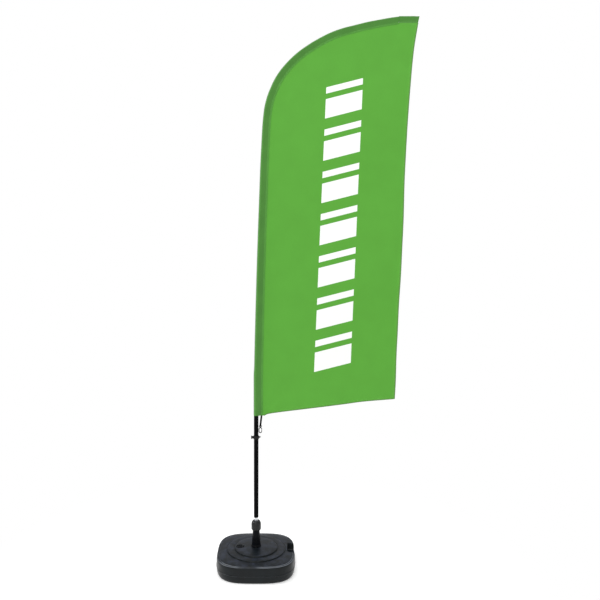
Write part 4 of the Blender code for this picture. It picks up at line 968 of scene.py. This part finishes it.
# --- neck, nut and pole ------------------------------------------------------------------------------
def make_neck(finishes):
    """The tapering neck with its flared foot and the screw thread under the nut."""
    flange_z = CROWN_Z + 0.3 * MM
    lower = soften([
        (0.0, WELL_FLOOR_Z + 0.3 * MM), (WELL_R - 0.3 * MM, WELL_FLOOR_Z + 0.3 * MM),
        (WELL_R - 0.3 * MM, flange_z), (28.0 * MM, flange_z), (27.8 * MM, 0.1108), (26.2 * MM, 0.1146),
        (24.7 * MM, 0.1225), (23.1 * MM, 0.143), (21.9 * MM, 0.168), (20.5 * MM, 0.183),
        (19.3 * MM, 0.194), (18.6 * MM, 0.2125), (18.2 * MM, NECK_SHOULDER_Z),
        (14.3 * MM, NECK_SHOULDER_Z + 0.2 * MM),
    ], 1.4 * MM)
    segments = 72
    rows = [[(point.x, point.y)] * segments for point in lower]
    thread_low = NECK_SHOULDER_Z + 1.0 * MM
    thread_high = NECK_TOP_Z - 1.2 * MM
    core = NECK_THREAD_R - NECK_THREAD_DEPTH
    for height in stations(thread_low, thread_high, 0.4 * MM):
        fade = min((height - thread_low) / (1.5 * MM), (thread_high - height) / (1.5 * MM), 1.0)
        row = []
        for i in range(segments):
            phase = (height / NECK_THREAD_PITCH - i / segments) % 1.0
            ridge = max(0.0, 1.0 - abs(phase - 0.5) * 3.2)
            row.append((core + NECK_THREAD_DEPTH * fade * min(ridge * 1.5, 1.0), height))
        rows.append(row)
    for radius, height in ((core, NECK_TOP_Z - 0.6 * MM), (core - 0.5 * MM, NECK_TOP_Z),
                           (NECK_BORE_R + 0.5 * MM, NECK_TOP_Z), (NECK_BORE_R, NECK_TOP_Z - 0.5 * MM),
                           (NECK_BORE_R, NECK_BORE_FLOOR_Z), (0.0, NECK_BORE_FLOOR_Z)):
        rows.append([(radius, height)] * segments)
    add_piece("neck_moulding", turned("neck_moulding", rows, 50), finishes["neck_plastic"], "foot",
              ("neck_tube",))


def make_nut(finishes):
    """The lobed clamp nut: a domed top, eight finger flutes and a ribbed skirt."""
    thread = NECK_THREAD_R + 0.3 * MM
    ceiling = NECK_TOP_Z + 4.1 * MM
    solid = lathe("nut_body", [
        (NUT_HOLE_R, NUT_TOP_Z), (15.0 * MM, NUT_TOP_Z), (20.5 * MM, NUT_TOP_Z - 2.7 * MM),
        (NUT_R - 2.8 * MM, NUT_TOP_Z - 8.0 * MM), (NUT_R - 0.7 * MM, NUT_TOP_Z - 14.0 * MM),
        (NUT_R + 0.2 * MM, NUT_TOP_Z - 20.0 * MM), (NUT_R + 0.2 * MM, NUT_BOTTOM_Z + 6.5 * MM),
        (NUT_R - 3.6 * MM, NUT_BOTTOM_Z), (NUT_SKIRT_BORE_R, NUT_BOTTOM_Z),
        (NUT_SKIRT_BORE_R, NECK_SHOULDER_Z + 1.0 * MM), (thread, NECK_SHOULDER_Z + 1.0 * MM),
        (thread, ceiling), (NUT_HOLE_R, ceiling),
    ], 96, 0.8 * MM, ring=True)
    cuts = []
    for i in range(NUT_LOBES):
        angle = math.tau * (i + 0.5) / NUT_LOBES
        reach = NUT_R + 2.3 * MM
        flute = cylinder("nut_flute", 5.4 * MM, -40 * MM, 40 * MM, 32)
        lean = Vector((-0.06 * math.cos(angle), -0.06 * math.sin(angle), 1.0))
        cuts.append(aimed(flute, (*on_circle(reach, angle), 0.2265), lean))
    mesh = fused("clamp_nut_lobed", [solid], cuts, 0.5 * MM, 3)
    add_piece("clamp_nut_lobed", mesh, finishes["nut_plastic"], "nut", ("clamp_nut",))


def make_spigot(finishes):
    """The plated sleeve that carries the pole, with a lead-in at each end and a witness groove."""
    shelf = 263.8 * MM
    waist = 6.4 * MM
    groove = 420 * MM
    line = [
        (SPIGOT_BORE_R, SPIGOT_TOP_Z), (SPIGOT_R - 1.0 * MM, SPIGOT_TOP_Z),
        (SPIGOT_R, SPIGOT_TOP_Z - 1.6 * MM), (SPIGOT_R, groove + 1 * MM),
        (SPIGOT_R - 0.4 * MM, groove + 0.6 * MM), (SPIGOT_R - 0.4 * MM, groove - 0.6 * MM),
        (SPIGOT_R, groove - 1 * MM), (SPIGOT_R, SPIGOT_LOW_Z + 1.0 * MM),
        (SPIGOT_R - 0.8 * MM, SPIGOT_LOW_Z), (SPIGOT_BORE_R, SPIGOT_LOW_Z), (SPIGOT_BORE_R, shelf),
        (waist, shelf), (waist, 404.2 * MM), (SPIGOT_BORE_R, 404.2 * MM),
    ]
    mesh = lathe("spigot_plated", line, 72, 0.3 * MM, ring=True)
    add_piece("spigot_plated", mesh, finishes["steel"], "spigot", ("spigot_sleeve",))


def make_pole(finishes):
    """The lower pole tube with rolled ends."""
    line = [
        (POLE_BORE_R, POLE_TOP_Z), (POLE_R, POLE_TOP_Z), (POLE_R, POLE_LOW_Z + 14 * MM),
        (POLE_R, POLE_LOW_Z + 0.8 * MM), (POLE_R - 0.8 * MM, POLE_LOW_Z),
        (POLE_BORE_R + 0.6 * MM, POLE_LOW_Z), (POLE_BORE_R, POLE_LOW_Z + 0.6 * MM),
    ]
    mesh = lathe("pole_tube", line, 72, 0.4 * MM, ring=True)
    add_piece("pole_tube", mesh, finishes["black_tube"], "mast", ("lower_tube",))


# --- cloth -----------------------------------------------------------------------------------------------
def sleeve_section(place, radius, seam, half_seam, pucker):
    """Points round the sleeve: over the mast, then straight to the seam on both sides."""
    arc = 20
    flank = 7
    opening = math.acos((radius - half_seam) / (seam - 2 * MM))
    local = []
    for i in range(arc + 1):
        angle = opening + (math.tau - 2 * opening) * i / arc
        local.append((*on_circle(radius, angle), angle))
    last, first = local[-1], local[0]
    steps = range(1, flank + 1)
    for (reach, side, _), end, order in ((last, -half_seam, steps), (first, half_seam, reversed(steps))):
        for i in order:
            share = i / flank
            local.append((reach + (seam - reach) * share, side + (end - side) * share, 0.0))
    ring = []
    for reach, side, angle in local:
        start = 1.3 if side > 0 else 0.0
        swell = pucker * math.sin(place / (17 * MM) + 2.2 * math.sin(place * 7.0) + start)
        lift = math.copysign(min(abs(side) / radius, 1.0), side) * (swell + 0.8 * pucker)
        ring.append(beside_mast(place, reach - swell * 0.25 * (1 if angle else 0), side + lift))
    return ring


def make_sleeve(finishes, extras):
    """The sewn channel over the mast, its hem, lapped seam, a dark strip of painted shade along its outer
    edge, and stitches.
    """
    outer = []
    inner = []
    bend_low = MAST.distance_at(lambda point: point.y >= 2.50)
    bend_high = MAST.distance_at(lambda point: point.x >= 0.55)
    for place in stations(SLEEVE_LOW, SLEEVE_HIGH, 6 * MM):
        radius = sleeve_radius(place)
        seam = taper(place, SEAM_OFFSET)
        bent = max(0.0, min(1.0, (place - bend_low) / 0.15, (bend_high + 0.25 - place) / 0.25))
        pucker = (0.35 + 0.75 * bent) * MM
        from_low = place - SLEEVE_LOW
        thick = 0.6 * MM if from_low < 16 * MM or SLEEVE_HIGH - place < 14 * MM else 0.0
        outer.append(sleeve_section(place, radius + thick * 0.5, seam, 1.0 * MM + thick * 0.3, pucker))
        inner.append(sleeve_section(place, radius - SLEEVE_WALL, seam - 4 * MM, 0.4 * MM, pucker))
    shape = bmesh.new()
    skins = [join_rows(shape, rings) for rings in (outer, inner)]
    count = len(outer[0])
    for end in (0, -1):
        for i in range(count):
            j = (i + 1) % count
            shape.faces.new((skins[0][end][i], skins[0][end][j], skins[1][end][j], skins[1][end][i]))
    bmesh.ops.recalc_face_normals(shape, faces=list(shape.faces))
    mesh = bpy.data.meshes.new("sleeve_channel")
    shape.to_mesh(mesh)
    shape.free()
    mesh.shade_smooth()
    mesh.set_sharp_from_angle(angle=math.radians(60))
    sleeve = add_piece("sleeve_channel", mesh, finishes["sleeve_cloth"], "mast", ("pole_sleeve",))

    lap = LAP_WIDTH / MM
    lap_outline = ((-2.4, 0.2), (-2.4, 1.05), (-1.6, 1.3), (3.0, 1.15), (lap - 0.6, 1.1),
                   (lap, 0.9), (lap, 0.2))
    for label, side in SIDES:
        rows = []
        low = SLEEVE_LOW + 1.0 * MM
        for place in stations(low, SLEEVE_HIGH, 10 * MM):
            seam = taper(place, SEAM_OFFSET)
            rows.append([beside_mast(place, seam + reach * MM, side * lift * MM)
                         for reach, lift in lap_outline])
        strip = skin("seam_lap_" + label, rows, around=True, caps=True, sharp=50)
        add_piece("seam_lap_" + label, strip, extras["lap_cloth"], "mast", ())
        for number, reach in ((1, 0.8), (2, 7.4)):
            line = [beside_mast(place, taper(place, SEAM_OFFSET) + reach * MM, side * 1.3 * MM)
                    for place in stations(low + 4 * MM, SLEEVE_HIGH - 6 * MM, 10 * MM)]
            stitch_row("seam_stitches_%s_%d" % (label, number), line, side,
                                   extras["seam_thread"], "mast")
        line = []
        radius = SLEEVE_LOW_R + 0.55 * MM
        for i in range(25):
            across, out = on_circle(radius, math.radians(90 + 90 * i / 24))
            line.append(Vector((across, side * out, SLEEVE_LOW_Z + 12 * MM)))
        stitch_row("sleeve_hem_stitches_" + label, line, side, extras["seam_thread"], "mast")

    # Painted shade: a thin dark strip along the outer edge, where the cloth turns away from the light.
    line = []
    for place in stations(SLEEVE_LOW + 3 * MM, SLEEVE_HIGH - 3 * MM, 12 * MM):
        line.append(beside_mast(place, -sleeve_radius(place) + 0.5 * MM))
    edge_shade_strip = add_piece("outer_edge_shade", wire("outer_edge_shade", line, 1.1 * MM, 10), extras["edge_shade_cloth"],
                       "mast", ())
    return sleeve


TRAILING = Line(TRAILING_EDGE)
HEM_LINE = Line(BOTTOM_EDGE)


def stand_off(across, height, share):
    """How far the slack cloth stands off its plane: soft folds that grow to the free edge."""
    rise = height - SLEEVE_LOW_Z
    top = max(0.0, min(1.0, (PANEL_TOP_Z - height) / 0.30))
    top = top * top * (3 - 2 * top)
    fan = 5.5 * MM * math.sin(math.tau * (0.95 * rise - 0.55 * across) / 0.74 + 0.5) * share**1.4
    flutter = 2.6 * MM * math.sin(math.tau * rise / 0.31 + 1.4 * math.sin(rise * 2.3)) * share**4
    belly = 7.0 * MM * math.sin(math.pi * min(share, 1.0)) * math.sin(math.pi * rise / 2.22)
    corner = math.hypot(across - 0.03, rise)
    pull = 2.2 * MM * math.sin(9.0 * math.atan2(rise, max(across - 0.03, 0.001))) * math.exp(-corner / 0.22)
    pull *= min(corner / 0.05, 1.0)
    return (fan + flutter + belly) * top + pull * min(share * 12, 1.0)


class Panel:
    """The flat cut of the cloth as rows from the seam to the free edge."""

    def __init__(self):
        low = SLEEVE_LOW + 1.0 * MM
        places = [low + offset * MM for offset in (0.0, 1.0, 6.0, 10.4, 11.6)]
        places += stations(low + 22 * MM, SLEEVE_HIGH, 14 * MM)
        self.rows = []
        bottom = Vector(BOTTOM_EDGE[0])
        for place in places:
            spot = MAST.at(place) + MAST.inward(place) * (taper(place, SEAM_OFFSET) - 2.0 * MM)
            if spot.y >= PANEL_TOP_Z:
                break
            height = spot.y
            if height < LEVEL_ROWS_Z:
                share = (height - bottom.y) / (LEVEL_ROWS_Z - bottom.y)
                end_height = TRAILING_EDGE[0][1] + share * (LEVEL_ROWS_Z - TRAILING_EDGE[0][1])
            else:
                end_height = height
            self.rows.append((spot, Vector((TRAILING.across_at(end_height), end_height))))
        top_left = self.rows[-1][0].copy()
        top_left.y = PANEL_TOP_Z
        top_left.x = min(top_left.x + 0.02, SLEEVE_END_X - 1 * MM)
        self.rows.append((top_left, Vector((TRAILING.across_at(PANEL_TOP_Z), PANEL_TOP_Z))))

    def spot(self, row, distance):
        """A point a distance in from the free edge on a row, or past its start, at the seam."""
        left, right = self.rows[row]
        width = (right - left).length
        share = max(0.0, 1.0 - distance / width)
        place = left.lerp(right, share)
        start = self.rows[0][0]
        fade = math.exp(-(left.y - start.y) / 0.12)
        straight = start.lerp(Vector(TRAILING_EDGE[0]), share)
        bend = hem_height(straight.x) - straight.y
        height = place.y + bend * fade
        return Vector((place.x, stand_off(place.x, height, share), height))

    def width(self, row):
        left, right = self.rows[row]
        return (right - left).length


def hem_height(across):
    """The bottom edge's height at an X."""
    points = HEM_LINE.points
    for start, stop in zip(points, points[1:]):
        if start.x <= across <= stop.x:
            return start.y + (stop.y - start.y) * (across - start.x) / (stop.x - start.x)
    return points[0].y if across < points[0].x else points[-1].y


def make_flag(finishes, extras):
    """The panel with folded hems, its overlocked edge, stitches and printed marks."""
    panel = Panel()
    columns = 64
    edge_steps = (0.0, 0.9 * MM, 6 * MM, 10.4 * MM, 11.6 * MM)
    fronts = []
    backs = []
    for row in range(len(panel.rows)):
        width = panel.width(row)
        distances = [min(step, width * 0.2 * (n + 1) / len(edge_steps)) if width < 0.06 else step
                     for n, step in enumerate(edge_steps)]
        inner = distances[-1]
        distances += [inner + (width - inner) * (i + 1) / columns for i in range(columns)]
        rise = max(panel.rows[row][0].y - panel.rows[0][0].y, 0.0)
        front = []
        back = []
        for distance in distances:
            spot = panel.spot(row, distance)
            hemmed = distance <= 10.5 * MM or (rise <= 10.5 * MM)
            edge = distance < 0.5 * MM or rise < 0.5 * MM
            half = (0.25 * MM if edge else HEM / 2) if hemmed else CLOTH / 2
            front.append(spot - Vector((0.0, half, 0.0)))
            back.append(spot + Vector((0.0, half, 0.0)))
        fronts.append(front)
        backs.append(back)
    shape = bmesh.new()
    near, far = [join_rows(shape, side, around=False) for side in (fronts, backs)]
    count = len(fronts[0])
    for a, b in zip(range(count - 1), range(1, count)):
        shape.faces.new((near[0][a], near[0][b], far[0][b], far[0][a]))
        shape.faces.new((near[-1][a], near[-1][b], far[-1][b], far[-1][a]))
    for a, b in zip(range(len(near) - 1), range(1, len(near))):
        shape.faces.new((near[a][0], near[b][0], far[b][0], far[a][0]))
        shape.faces.new((near[a][-1], near[b][-1], far[b][-1], far[a][-1]))
    mesh = tidy_mesh("flag_panel_cloth", shape, 60)
    flat_area = 0.0
    for row in range(len(panel.rows) - 1):
        height = (panel.rows[row + 1][0].y + panel.rows[row + 1][1].y
                  - panel.rows[row][0].y - panel.rows[row][1].y) / 2
        flat_area += height * (panel.width(row) + panel.width(row + 1)) / 2
    flag = add_piece("flag_panel_cloth", mesh, finishes["flag_cloth"], "mast", ("flag_panel",))

    last = len(panel.rows)
    free_edge = [panel.spot(row, 0.0) for row in range(last)]
    bottom = [panel.spot(0, panel.width(0) * i / 90) for i in range(88, -1, -1)]
    edge = bottom + free_edge[1:]
    add_piece("edge_overlock", wire("edge_overlock", edge, 1.35 * MM, 8, flat=0.7),
                          extras["edge_thread"], "mast", ())
    for label, side in SIDES:
        under = Vector((0.0, side * 0.2 * MM, 0.0))
        over = Vector((0.0, side * (HEM / 2 + 0.3 * MM), 0.0))
        pairs = []
        for i in range(90, -1, -1):
            distance = max(panel.width(0) * i / 90, 1.0 * MM)
            pairs.append((panel.spot(1, distance), panel.spot(2, distance)))
        low_fold = pairs[1:]
        free_fold = [(panel.spot(row, 0.9 * MM), panel.spot(row, 6.4 * MM)) for row in range(3, last)]
        for name, fold in (("low_hem_fold_", low_fold), ("free_hem_fold_", free_fold)):
            rows = [(outer + under, outer + over, inner + over, inner + under) for outer, inner in fold]
            strip = skin(name + label, rows, around=True, caps=True, sharp=50)
            add_piece(name + label, strip, extras["hem_cloth"], "mast", ())
        lift = Vector((0.0, side * (HEM / 2 + 0.1 * MM), 0.0))
        line = [panel.spot(row, 9.0 * MM) + lift for row in range(3, last)]
        stitch_row("free_hem_stitches_" + label, line, side, extras["seam_thread"], "mast")
        width = panel.width(0)
        line = []
        for i in range(4, 121):
            spot = panel.spot(0, width * (1 - i / 122))
            line.append(spot + lift + Vector((0.0, 0.0, 9.0 * MM)))
        stitch_row("low_hem_stitches_" + label, line, side, extras["seam_thread"], "mast")


def rod_height(across):
    """The tip rod's height at an X."""
    return MAST.at(min(MAST.distance_at(lambda point: point.x >= across), TIP_ROD_END)).y


def make_tip_pocket(finishes, extras):
    """The doubled pocket over the rod's tip, with its hem and stitches."""
    def ring(x, top, low, half_top, half_low):
        rod_z = rod_height(x)
        points = []
        slant = POCKET_SLANT * max(0.0, (x - 0.85) / (POCKET_END_X - 0.85))
        for i in range(17):
            angle = math.pi * i / 16
            points.append((x, half_top * math.cos(angle), rod_z + (top - rod_z) * math.sin(angle)))
        flank = (0.25, 0.5, 0.75, 1.0)
        for side, shares in ((-1, flank), (1, reversed(flank))):
            for share in shares:
                half = half_top + (half_low - half_top) * (1 - (1 - share) ** 1.6)
                points.append((x, side * half, rod_z + (low - rod_z) * share))
        drop = POCKET_TOP_Z - POCKET_LOW_Z
        return [(across - slant * (POCKET_TOP_Z - height) / drop, y, height) for across, y, height in points]

    def half_at(x):
        full = 8.1 * MM
        if x < 0.896:
            return full
        share = (x - 0.896) / (POCKET_END_X - 0.896)
        return full + (1.3 * MM - full) * (1 - (1 - share) ** 2)

    outer = []
    inner = []
    for x in stations(POCKET_START_X, POCKET_END_X, 3.2 * MM):
        crease = 0.25 * MM * math.sin(x / (5 * MM))
        low = POCKET_LOW_Z + (3 * MM if x > 0.9205 else 0.0)
        top = POCKET_TOP_Z - (0.6 * MM if x > 0.9205 else 0.0)
        outer.append(ring(x, top, low, half_at(x) + crease, 1.1 * MM))
    depth = 0.892
    for x in stations(POCKET_START_X, depth, 6 * MM):
        rod_z = rod_height(x)
        inner.append(ring(x, min(rod_z + 7 * MM, POCKET_TOP_Z - 0.8 * MM), POCKET_LOW_Z + 6 * MM,
                          7.1 * MM, 0.4 * MM))
    shape = bmesh.new()
    layers = [join_rows(shape, rows) for rows in (outer, inner)]
    count = len(outer[0])
    for i in range(count):
        j = (i + 1) % count
        shape.faces.new((layers[0][0][i], layers[0][0][j], layers[1][0][j], layers[1][0][i]))
    shape.faces.new(layers[0][-1])
    shape.faces.new(layers[1][-1])
    pocket = add_piece("tip_pocket_cloth", tidy_mesh("tip_pocket_cloth", shape, 50),
                       finishes["sleeve_cloth"], "mast", ("tip_pocket",))
    for label, side in SIDES:
        for number, (height, lift) in enumerate(((2.2, 1.35), (5.0, 1.75), (-5.0, 0.75), (-12.0, 0.75)), 1):
            line = [Vector((x, side * lift * MM, POCKET_LOW_Z + height * MM))
                    for x in stations(POCKET_START_X + 2 * MM, 0.9105, 8 * MM)]
            stitch_row("pocket_stitches_%s_%d" % (label, number), line, side,
                                   extras["seam_thread"], "mast")


# --- strap and hardware ------------------------------------------------------------------------------------
def make_strap(finishes):
    """Doubled webbing round the eye's bar, with rounded selvedges and a stitched box."""
    half_gap = STRAP_LAYER / 2 + 0.02 * MM
    loop_r = EYE_WIRE_R + 0.5 * MM + STRAP_LAYER / 2
    meet = math.asin(half_gap / loop_r)
    path = []
    top = STRAP_TOP_Z
    neck = 0.7935
    for i in range(15):
        path.append((half_gap, top + (neck - top) * i / 14))
    path.append((half_gap * 1.1, 0.7905))
    for i in range(21):
        out, up = on_circle(loop_r, math.pi / 2 - meet - (math.tau - 2 * meet) * i / 20)
        path.append((out, EYE_BAR_Z + up))
    path.append((-half_gap * 1.1, 0.7905))
    for i in range(15):
        path.append((-half_gap, neck + (top - neck) * i / 14))
    start = EYE_BAR_Z + loop_r
    rows = []
    for i, (side, height) in enumerate(path):
        before, after = path[max(i - 1, 0)], path[min(i + 1, len(path) - 1)]
        tangent = Vector((after[0] - before[0], after[1] - before[1])).normalized()
        normal = Vector((-tangent.y, tangent.x))
        lean = STRAP_LEAN * max(height - start, 0.0) / (STRAP_TOP_Z - start)
        row = []
        half = STRAP_WIDTH / 2
        thick = STRAP_LAYER / 2 - 0.05 * MM
        section = [(-half, 0.0), (-half * 0.94, thick * 0.7), (-half * 0.8, thick)]
        section += [(half * share, thick * (1.0 if share in (-0.4, 0.4) else 0.94))
                    for share in (-0.6, -0.4, -0.2, 0.0, 0.2, 0.4, 0.6)]
        section += [(half * 0.8, thick), (half * 0.94, thick * 0.7), (half, 0.0)]
        section += [(across, -lift) for across, lift in reversed(section[1:-1])]
        for across, lift in section:
            row.append((HOOK_X + lean + across, side + normal.x * lift, height + normal.y * lift))
        rows.append(row)
    strap = add_piece("strap_webbing", skin("strap_webbing", rows, around=True, caps=True, sharp=60),
                      finishes["webbing"], "mast", ("tension_strap",))
    for label, side in SIDES:
        line = []
        y = side * (STRAP_LAYER + 0.12 * MM)
        for across, height in ((-2.6, 0.799), (2.6, 0.799), (2.6, 0.812), (-2.6, 0.812), (-2.6, 0.799),
                               (2.6, 0.812)):
            lean = STRAP_LEAN * (height - start) / (STRAP_TOP_Z - start)
            line.append(Vector((HOOK_X + lean + across * MM, y, height)))
        stitches = stitch_row("strap_box_stitches_" + label, line, side, finishes["webbing"], "mast",
                              2.2 * MM, 1.6 * MM, 0.5 * MM)
    return strap


def make_eye(finishes):
    """The D-shaped eye on the strap and the boss that the hook swivels in."""
    low = EYE_BOSS_Z[0] + 1.2 * MM
    bar = EYE_BAR_Z
    corners = [
        (EYE_HALF, bar - 0.3 * MM), (EYE_HALF - 0.8 * MM, bar), (0.0, bar), (-EYE_HALF + 0.8 * MM, bar),
        (-EYE_HALF, bar - 0.3 * MM), (-EYE_HALF, bar - 2.6 * MM), (-EYE_HALF + 1.5 * MM, low + 0.9 * MM),
        (-2.4 * MM, low), (0.0, low), (2.4 * MM, low), (EYE_HALF - 1.5 * MM, low + 0.9 * MM),
        (EYE_HALF, bar - 2.6 * MM),
    ]
    middle = ((Vector(corners[0]) + Vector(corners[-1])) / 2)[:]
    line = soften([middle, *corners, middle], 1.2 * MM)[:-1]
    loop = wire("eye_loop", [(HOOK_X + x, 0.0, z) for x, z in line], EYE_WIRE_R, 14, closed=True)
    boss = cylinder("eye_boss", 2.9 * MM, *EYE_BOSS_Z, 32, 0.4 * MM)
    hole = cylinder("eye_hole", 1.4 * MM, 0.770, 0.783, 20)
    for mesh in (boss, hole):
        mesh.transform(Matrix.Translation((HOOK_X, 0.0, 0.0)))
    mesh = fused("hook_eye_cast", [loop, boss], [hole], 0.22 * MM, 2)
    add_piece("hook_eye_cast", mesh, finishes["dark_steel"], "hook_eyelet", ("hook_eye",))


def make_hook(finishes):
    """The oval snap hook with its swivel stem, pivot tongue and spring gate."""
    points = [(HOOK_X + HOOK_HALF, 0.0, 0.7690)]
    for centre_z, start in ((HOOK_TOP_Z - HOOK_HALF, 0.0), (HOOK_LOW_Z + HOOK_HALF, math.pi)):
        for i in range(25):
            across, up = on_circle(HOOK_HALF, start + math.pi * i / 24)
            points.append((HOOK_X + across, 0.0, centre_z + up))
    bow = wire("hook_bow", points, HOOK_WIRE_R, 18)
    stem = lathe("hook_stem", [
        (0.0, 0.7766), (1.1 * MM, 0.7766), (1.1 * MM, 0.7803), (2.1 * MM, 0.7803), (1.9 * MM, 0.7822),
        (0.0, 0.7825),
    ], 28, 0.15 * MM)
    stem.transform(Matrix.Translation((HOOK_X, 0.0, 0.0)))
    pivot_x = HOOK_X + HOOK_HALF
    tongue = block("hook_tongue", (pivot_x - 1.3 * MM, -0.7 * MM, GATE_PIVOT_Z - 2.4 * MM),
                   (pivot_x + 1.3 * MM, 0.7 * MM, GATE_PIVOT_Z + 1.3 * MM), 0.25 * MM, 3)
    hole = aimed(cylinder("pin_hole", 0.75 * MM, -3 * MM, 3 * MM, 20), (pivot_x, 0.0, GATE_PIVOT_Z),
                 (0.0, 1.0, 0.0))
    mesh = fused("snap_hook_bow", [bow, stem, tongue], [hole], 0.22 * MM, 2)
    add_piece("snap_hook_bow", mesh, finishes["dark_steel"], "hook", ("hook_body",))

    pin = aimed(lathe("gate_pin_headed", [
        (0.0, -2.2 * MM), (0.35 * MM, -2.2 * MM), (0.5 * MM, -2.0 * MM), (0.5 * MM, 2.0 * MM),
        (0.35 * MM, 2.2 * MM), (0.0, 2.2 * MM),
    ], 24), (pivot_x, 0.0, GATE_PIVOT_Z), (0.0, 1.0, 0.0))
    add_piece("gate_pin_headed", pin, finishes["steel"], "hook", ("gate_pin",))

    rod = wire("gate_rod", [(0.0, 0.0, 2.9 * MM), (0.0, 0.0, 6 * MM), (0.0, 0.0, 7.7 * MM)],
               2.1 * MM, 18)
    solids = [rod]
    for side in (-1, 1):
        y = sorted((side * 1.0 * MM, side * 1.9 * MM))
        solids.append(block("gate_ear", (-1.1 * MM, y[0], -1.1 * MM), (1.1 * MM, y[1], 3.8 * MM),
                            0.2 * MM, 3))
    solids.append(block("gate_bridge", (-1.0 * MM, -1.9 * MM, 2.1 * MM), (1.0 * MM, 1.9 * MM, 3.8 * MM),
                        0.2 * MM, 3))
    clear = aimed(cylinder("gate_hole", 0.75 * MM, -3 * MM, 3 * MM, 20), (0.0, 0.0, 0.0), (0.0, 1.0, 0.0))
    mesh = fused("snap_gate", solids, [clear], 0.18 * MM, 1)
    mesh.transform(Matrix.Translation((pivot_x, 0.0, GATE_PIVOT_Z)))
    add_piece("snap_gate", mesh, finishes["black_tube"], "gate", ("hook_gate",))


def make_collar(finishes, extras):
    """The clamp collar on the pole: screw boss on one side, hook ear on the other."""
    low = COLLAR_Z - COLLAR_HALF
    high = COLLAR_Z + COLLAR_HALF
    hoop = lathe("collar_band", [
        (COLLAR_BORE_R, high), (COLLAR_R - 1.0 * MM, high), (COLLAR_R, high - 1.0 * MM),
        (COLLAR_R, low + 1.0 * MM), (COLLAR_R - 1.0 * MM, low), (COLLAR_BORE_R, low),
    ], 80, 0.6 * MM, ring=True)
    left = (-1.0, 0.0, 0.0)
    place = (0.0, 0.0, COLLAR_Z)
    boss = aimed(cylinder("screw_boss", 7.0 * MM, 14.5 * MM, 22.2 * MM, 48, 0.7 * MM), place, left)
    outline = [
        (0.0146, 0.7165), (0.0200, 0.7180), (0.0250, 0.7215), (0.0266, 0.7245), (0.0255, 0.7265),
        (0.0205, 0.7270), (0.0146, 0.7280), (0.0146, 0.7165),
    ]
    line = soften(outline, 1.4 * MM)[:-1]
    ear = skin("hook_ear", [[(point.x, y, point.y) for point in line] for y in (-2.0 * MM, 2.0 * MM)],
               around=True, caps=True)
    ear_hole = aimed(cylinder("ear_hole", 2.1 * MM, -5 * MM, 5 * MM, 28), (0.0216, 0.0, 0.7235),
                     (0.0, 1.0, 0.0))
    screw_hole = aimed(cylinder("screw_hole", 3.0 * MM, 10 * MM, 30 * MM, 28), place, left)
    mesh = fused("clamp_collar", [hoop, boss, ear], [ear_hole, screw_hole], 0.4 * MM, 2)
    add_piece("clamp_collar", mesh, extras["collar_plastic"], "collar", ("tension_collar",))

    shank = 2.6 * MM
    head = lathe("screw_head", [
        (0.0, 28.8 * MM), (2.2 * MM, 28.8 * MM), (3.2 * MM, 28.2 * MM), (SCREW_HEAD_R - 2.6 * MM, 28.2 * MM),
        (SCREW_HEAD_R - 1.2 * MM, 28.7 * MM), (SCREW_HEAD_R, 27.6 * MM), (SCREW_HEAD_R, 23.6 * MM),
        (SCREW_HEAD_R - 1.0 * MM, 22.6 * MM), (shank, 22.6 * MM), (shank, 15.3 * MM), (0.0, 15.3 * MM),
    ], 64, 0.4 * MM)
    cuts = []
    for i in range(6):
        spot = on_circle(SCREW_HEAD_R + 1.1 * MM, math.tau * (i + 0.5) / 6)
        flute = cylinder("screw_flute", 2.4 * MM, 18 * MM, 34 * MM, 24)
        flute.transform(Matrix.Translation((*spot, 0.0)))
        cuts.append(flute)
    mesh = aimed(fused("clamp_thumb_screw", [head], cuts, 0.3 * MM, 2), place, left)
    add_piece("clamp_thumb_screw", mesh, finishes["dark_steel"], "screw", ("thumb_screw",))


def finish_frame(finishes):
    """Give every node of the frame that still shows its finish."""
    by_node = {
        "steel": ("spindle_post", "circlip", "thrust_washer", "thrust_ring", "tip_ferrule"),
        "bearing_steel": ("bearing_inner_race", "bearing_outer_race", *("ball_%d" % n for n in range(1, 8))),
        "brass": ("ball_cage", "clamp_pad"),
        "nylon": ("split_collet", "upper_bush", "spigot_cap", "pole_stop"),
        "rubber": ("cap_gasket", "neck_oring", "tip_cap"),
        "black_tube": ("mid_ferrule", "mid_tube"),
        "glass_fibre": ("upper_rod", "tip_rod"),
    }
    for slot, names in by_node.items():
        for name in names:
            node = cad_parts[name]
            for holder in node.material_slots:
                holder.material = finishes[slot]


make_stage()
make_effects()
FINISHES, EXTRAS = make_materials()
make_tank(FINISHES)
make_filler_cap(FINISHES)
make_neck(FINISHES)
make_nut(FINISHES)
make_spigot(FINISHES)
make_pole(FINISHES)
SLEEVE = make_sleeve(FINISHES, EXTRAS)
make_flag(FINISHES, EXTRAS)
make_tip_pocket(FINISHES, EXTRAS)
make_strap(FINISHES)
make_eye(FINISHES)
make_hook(FINISHES)
make_collar(FINISHES, EXTRAS)
finish_frame(FINISHES)
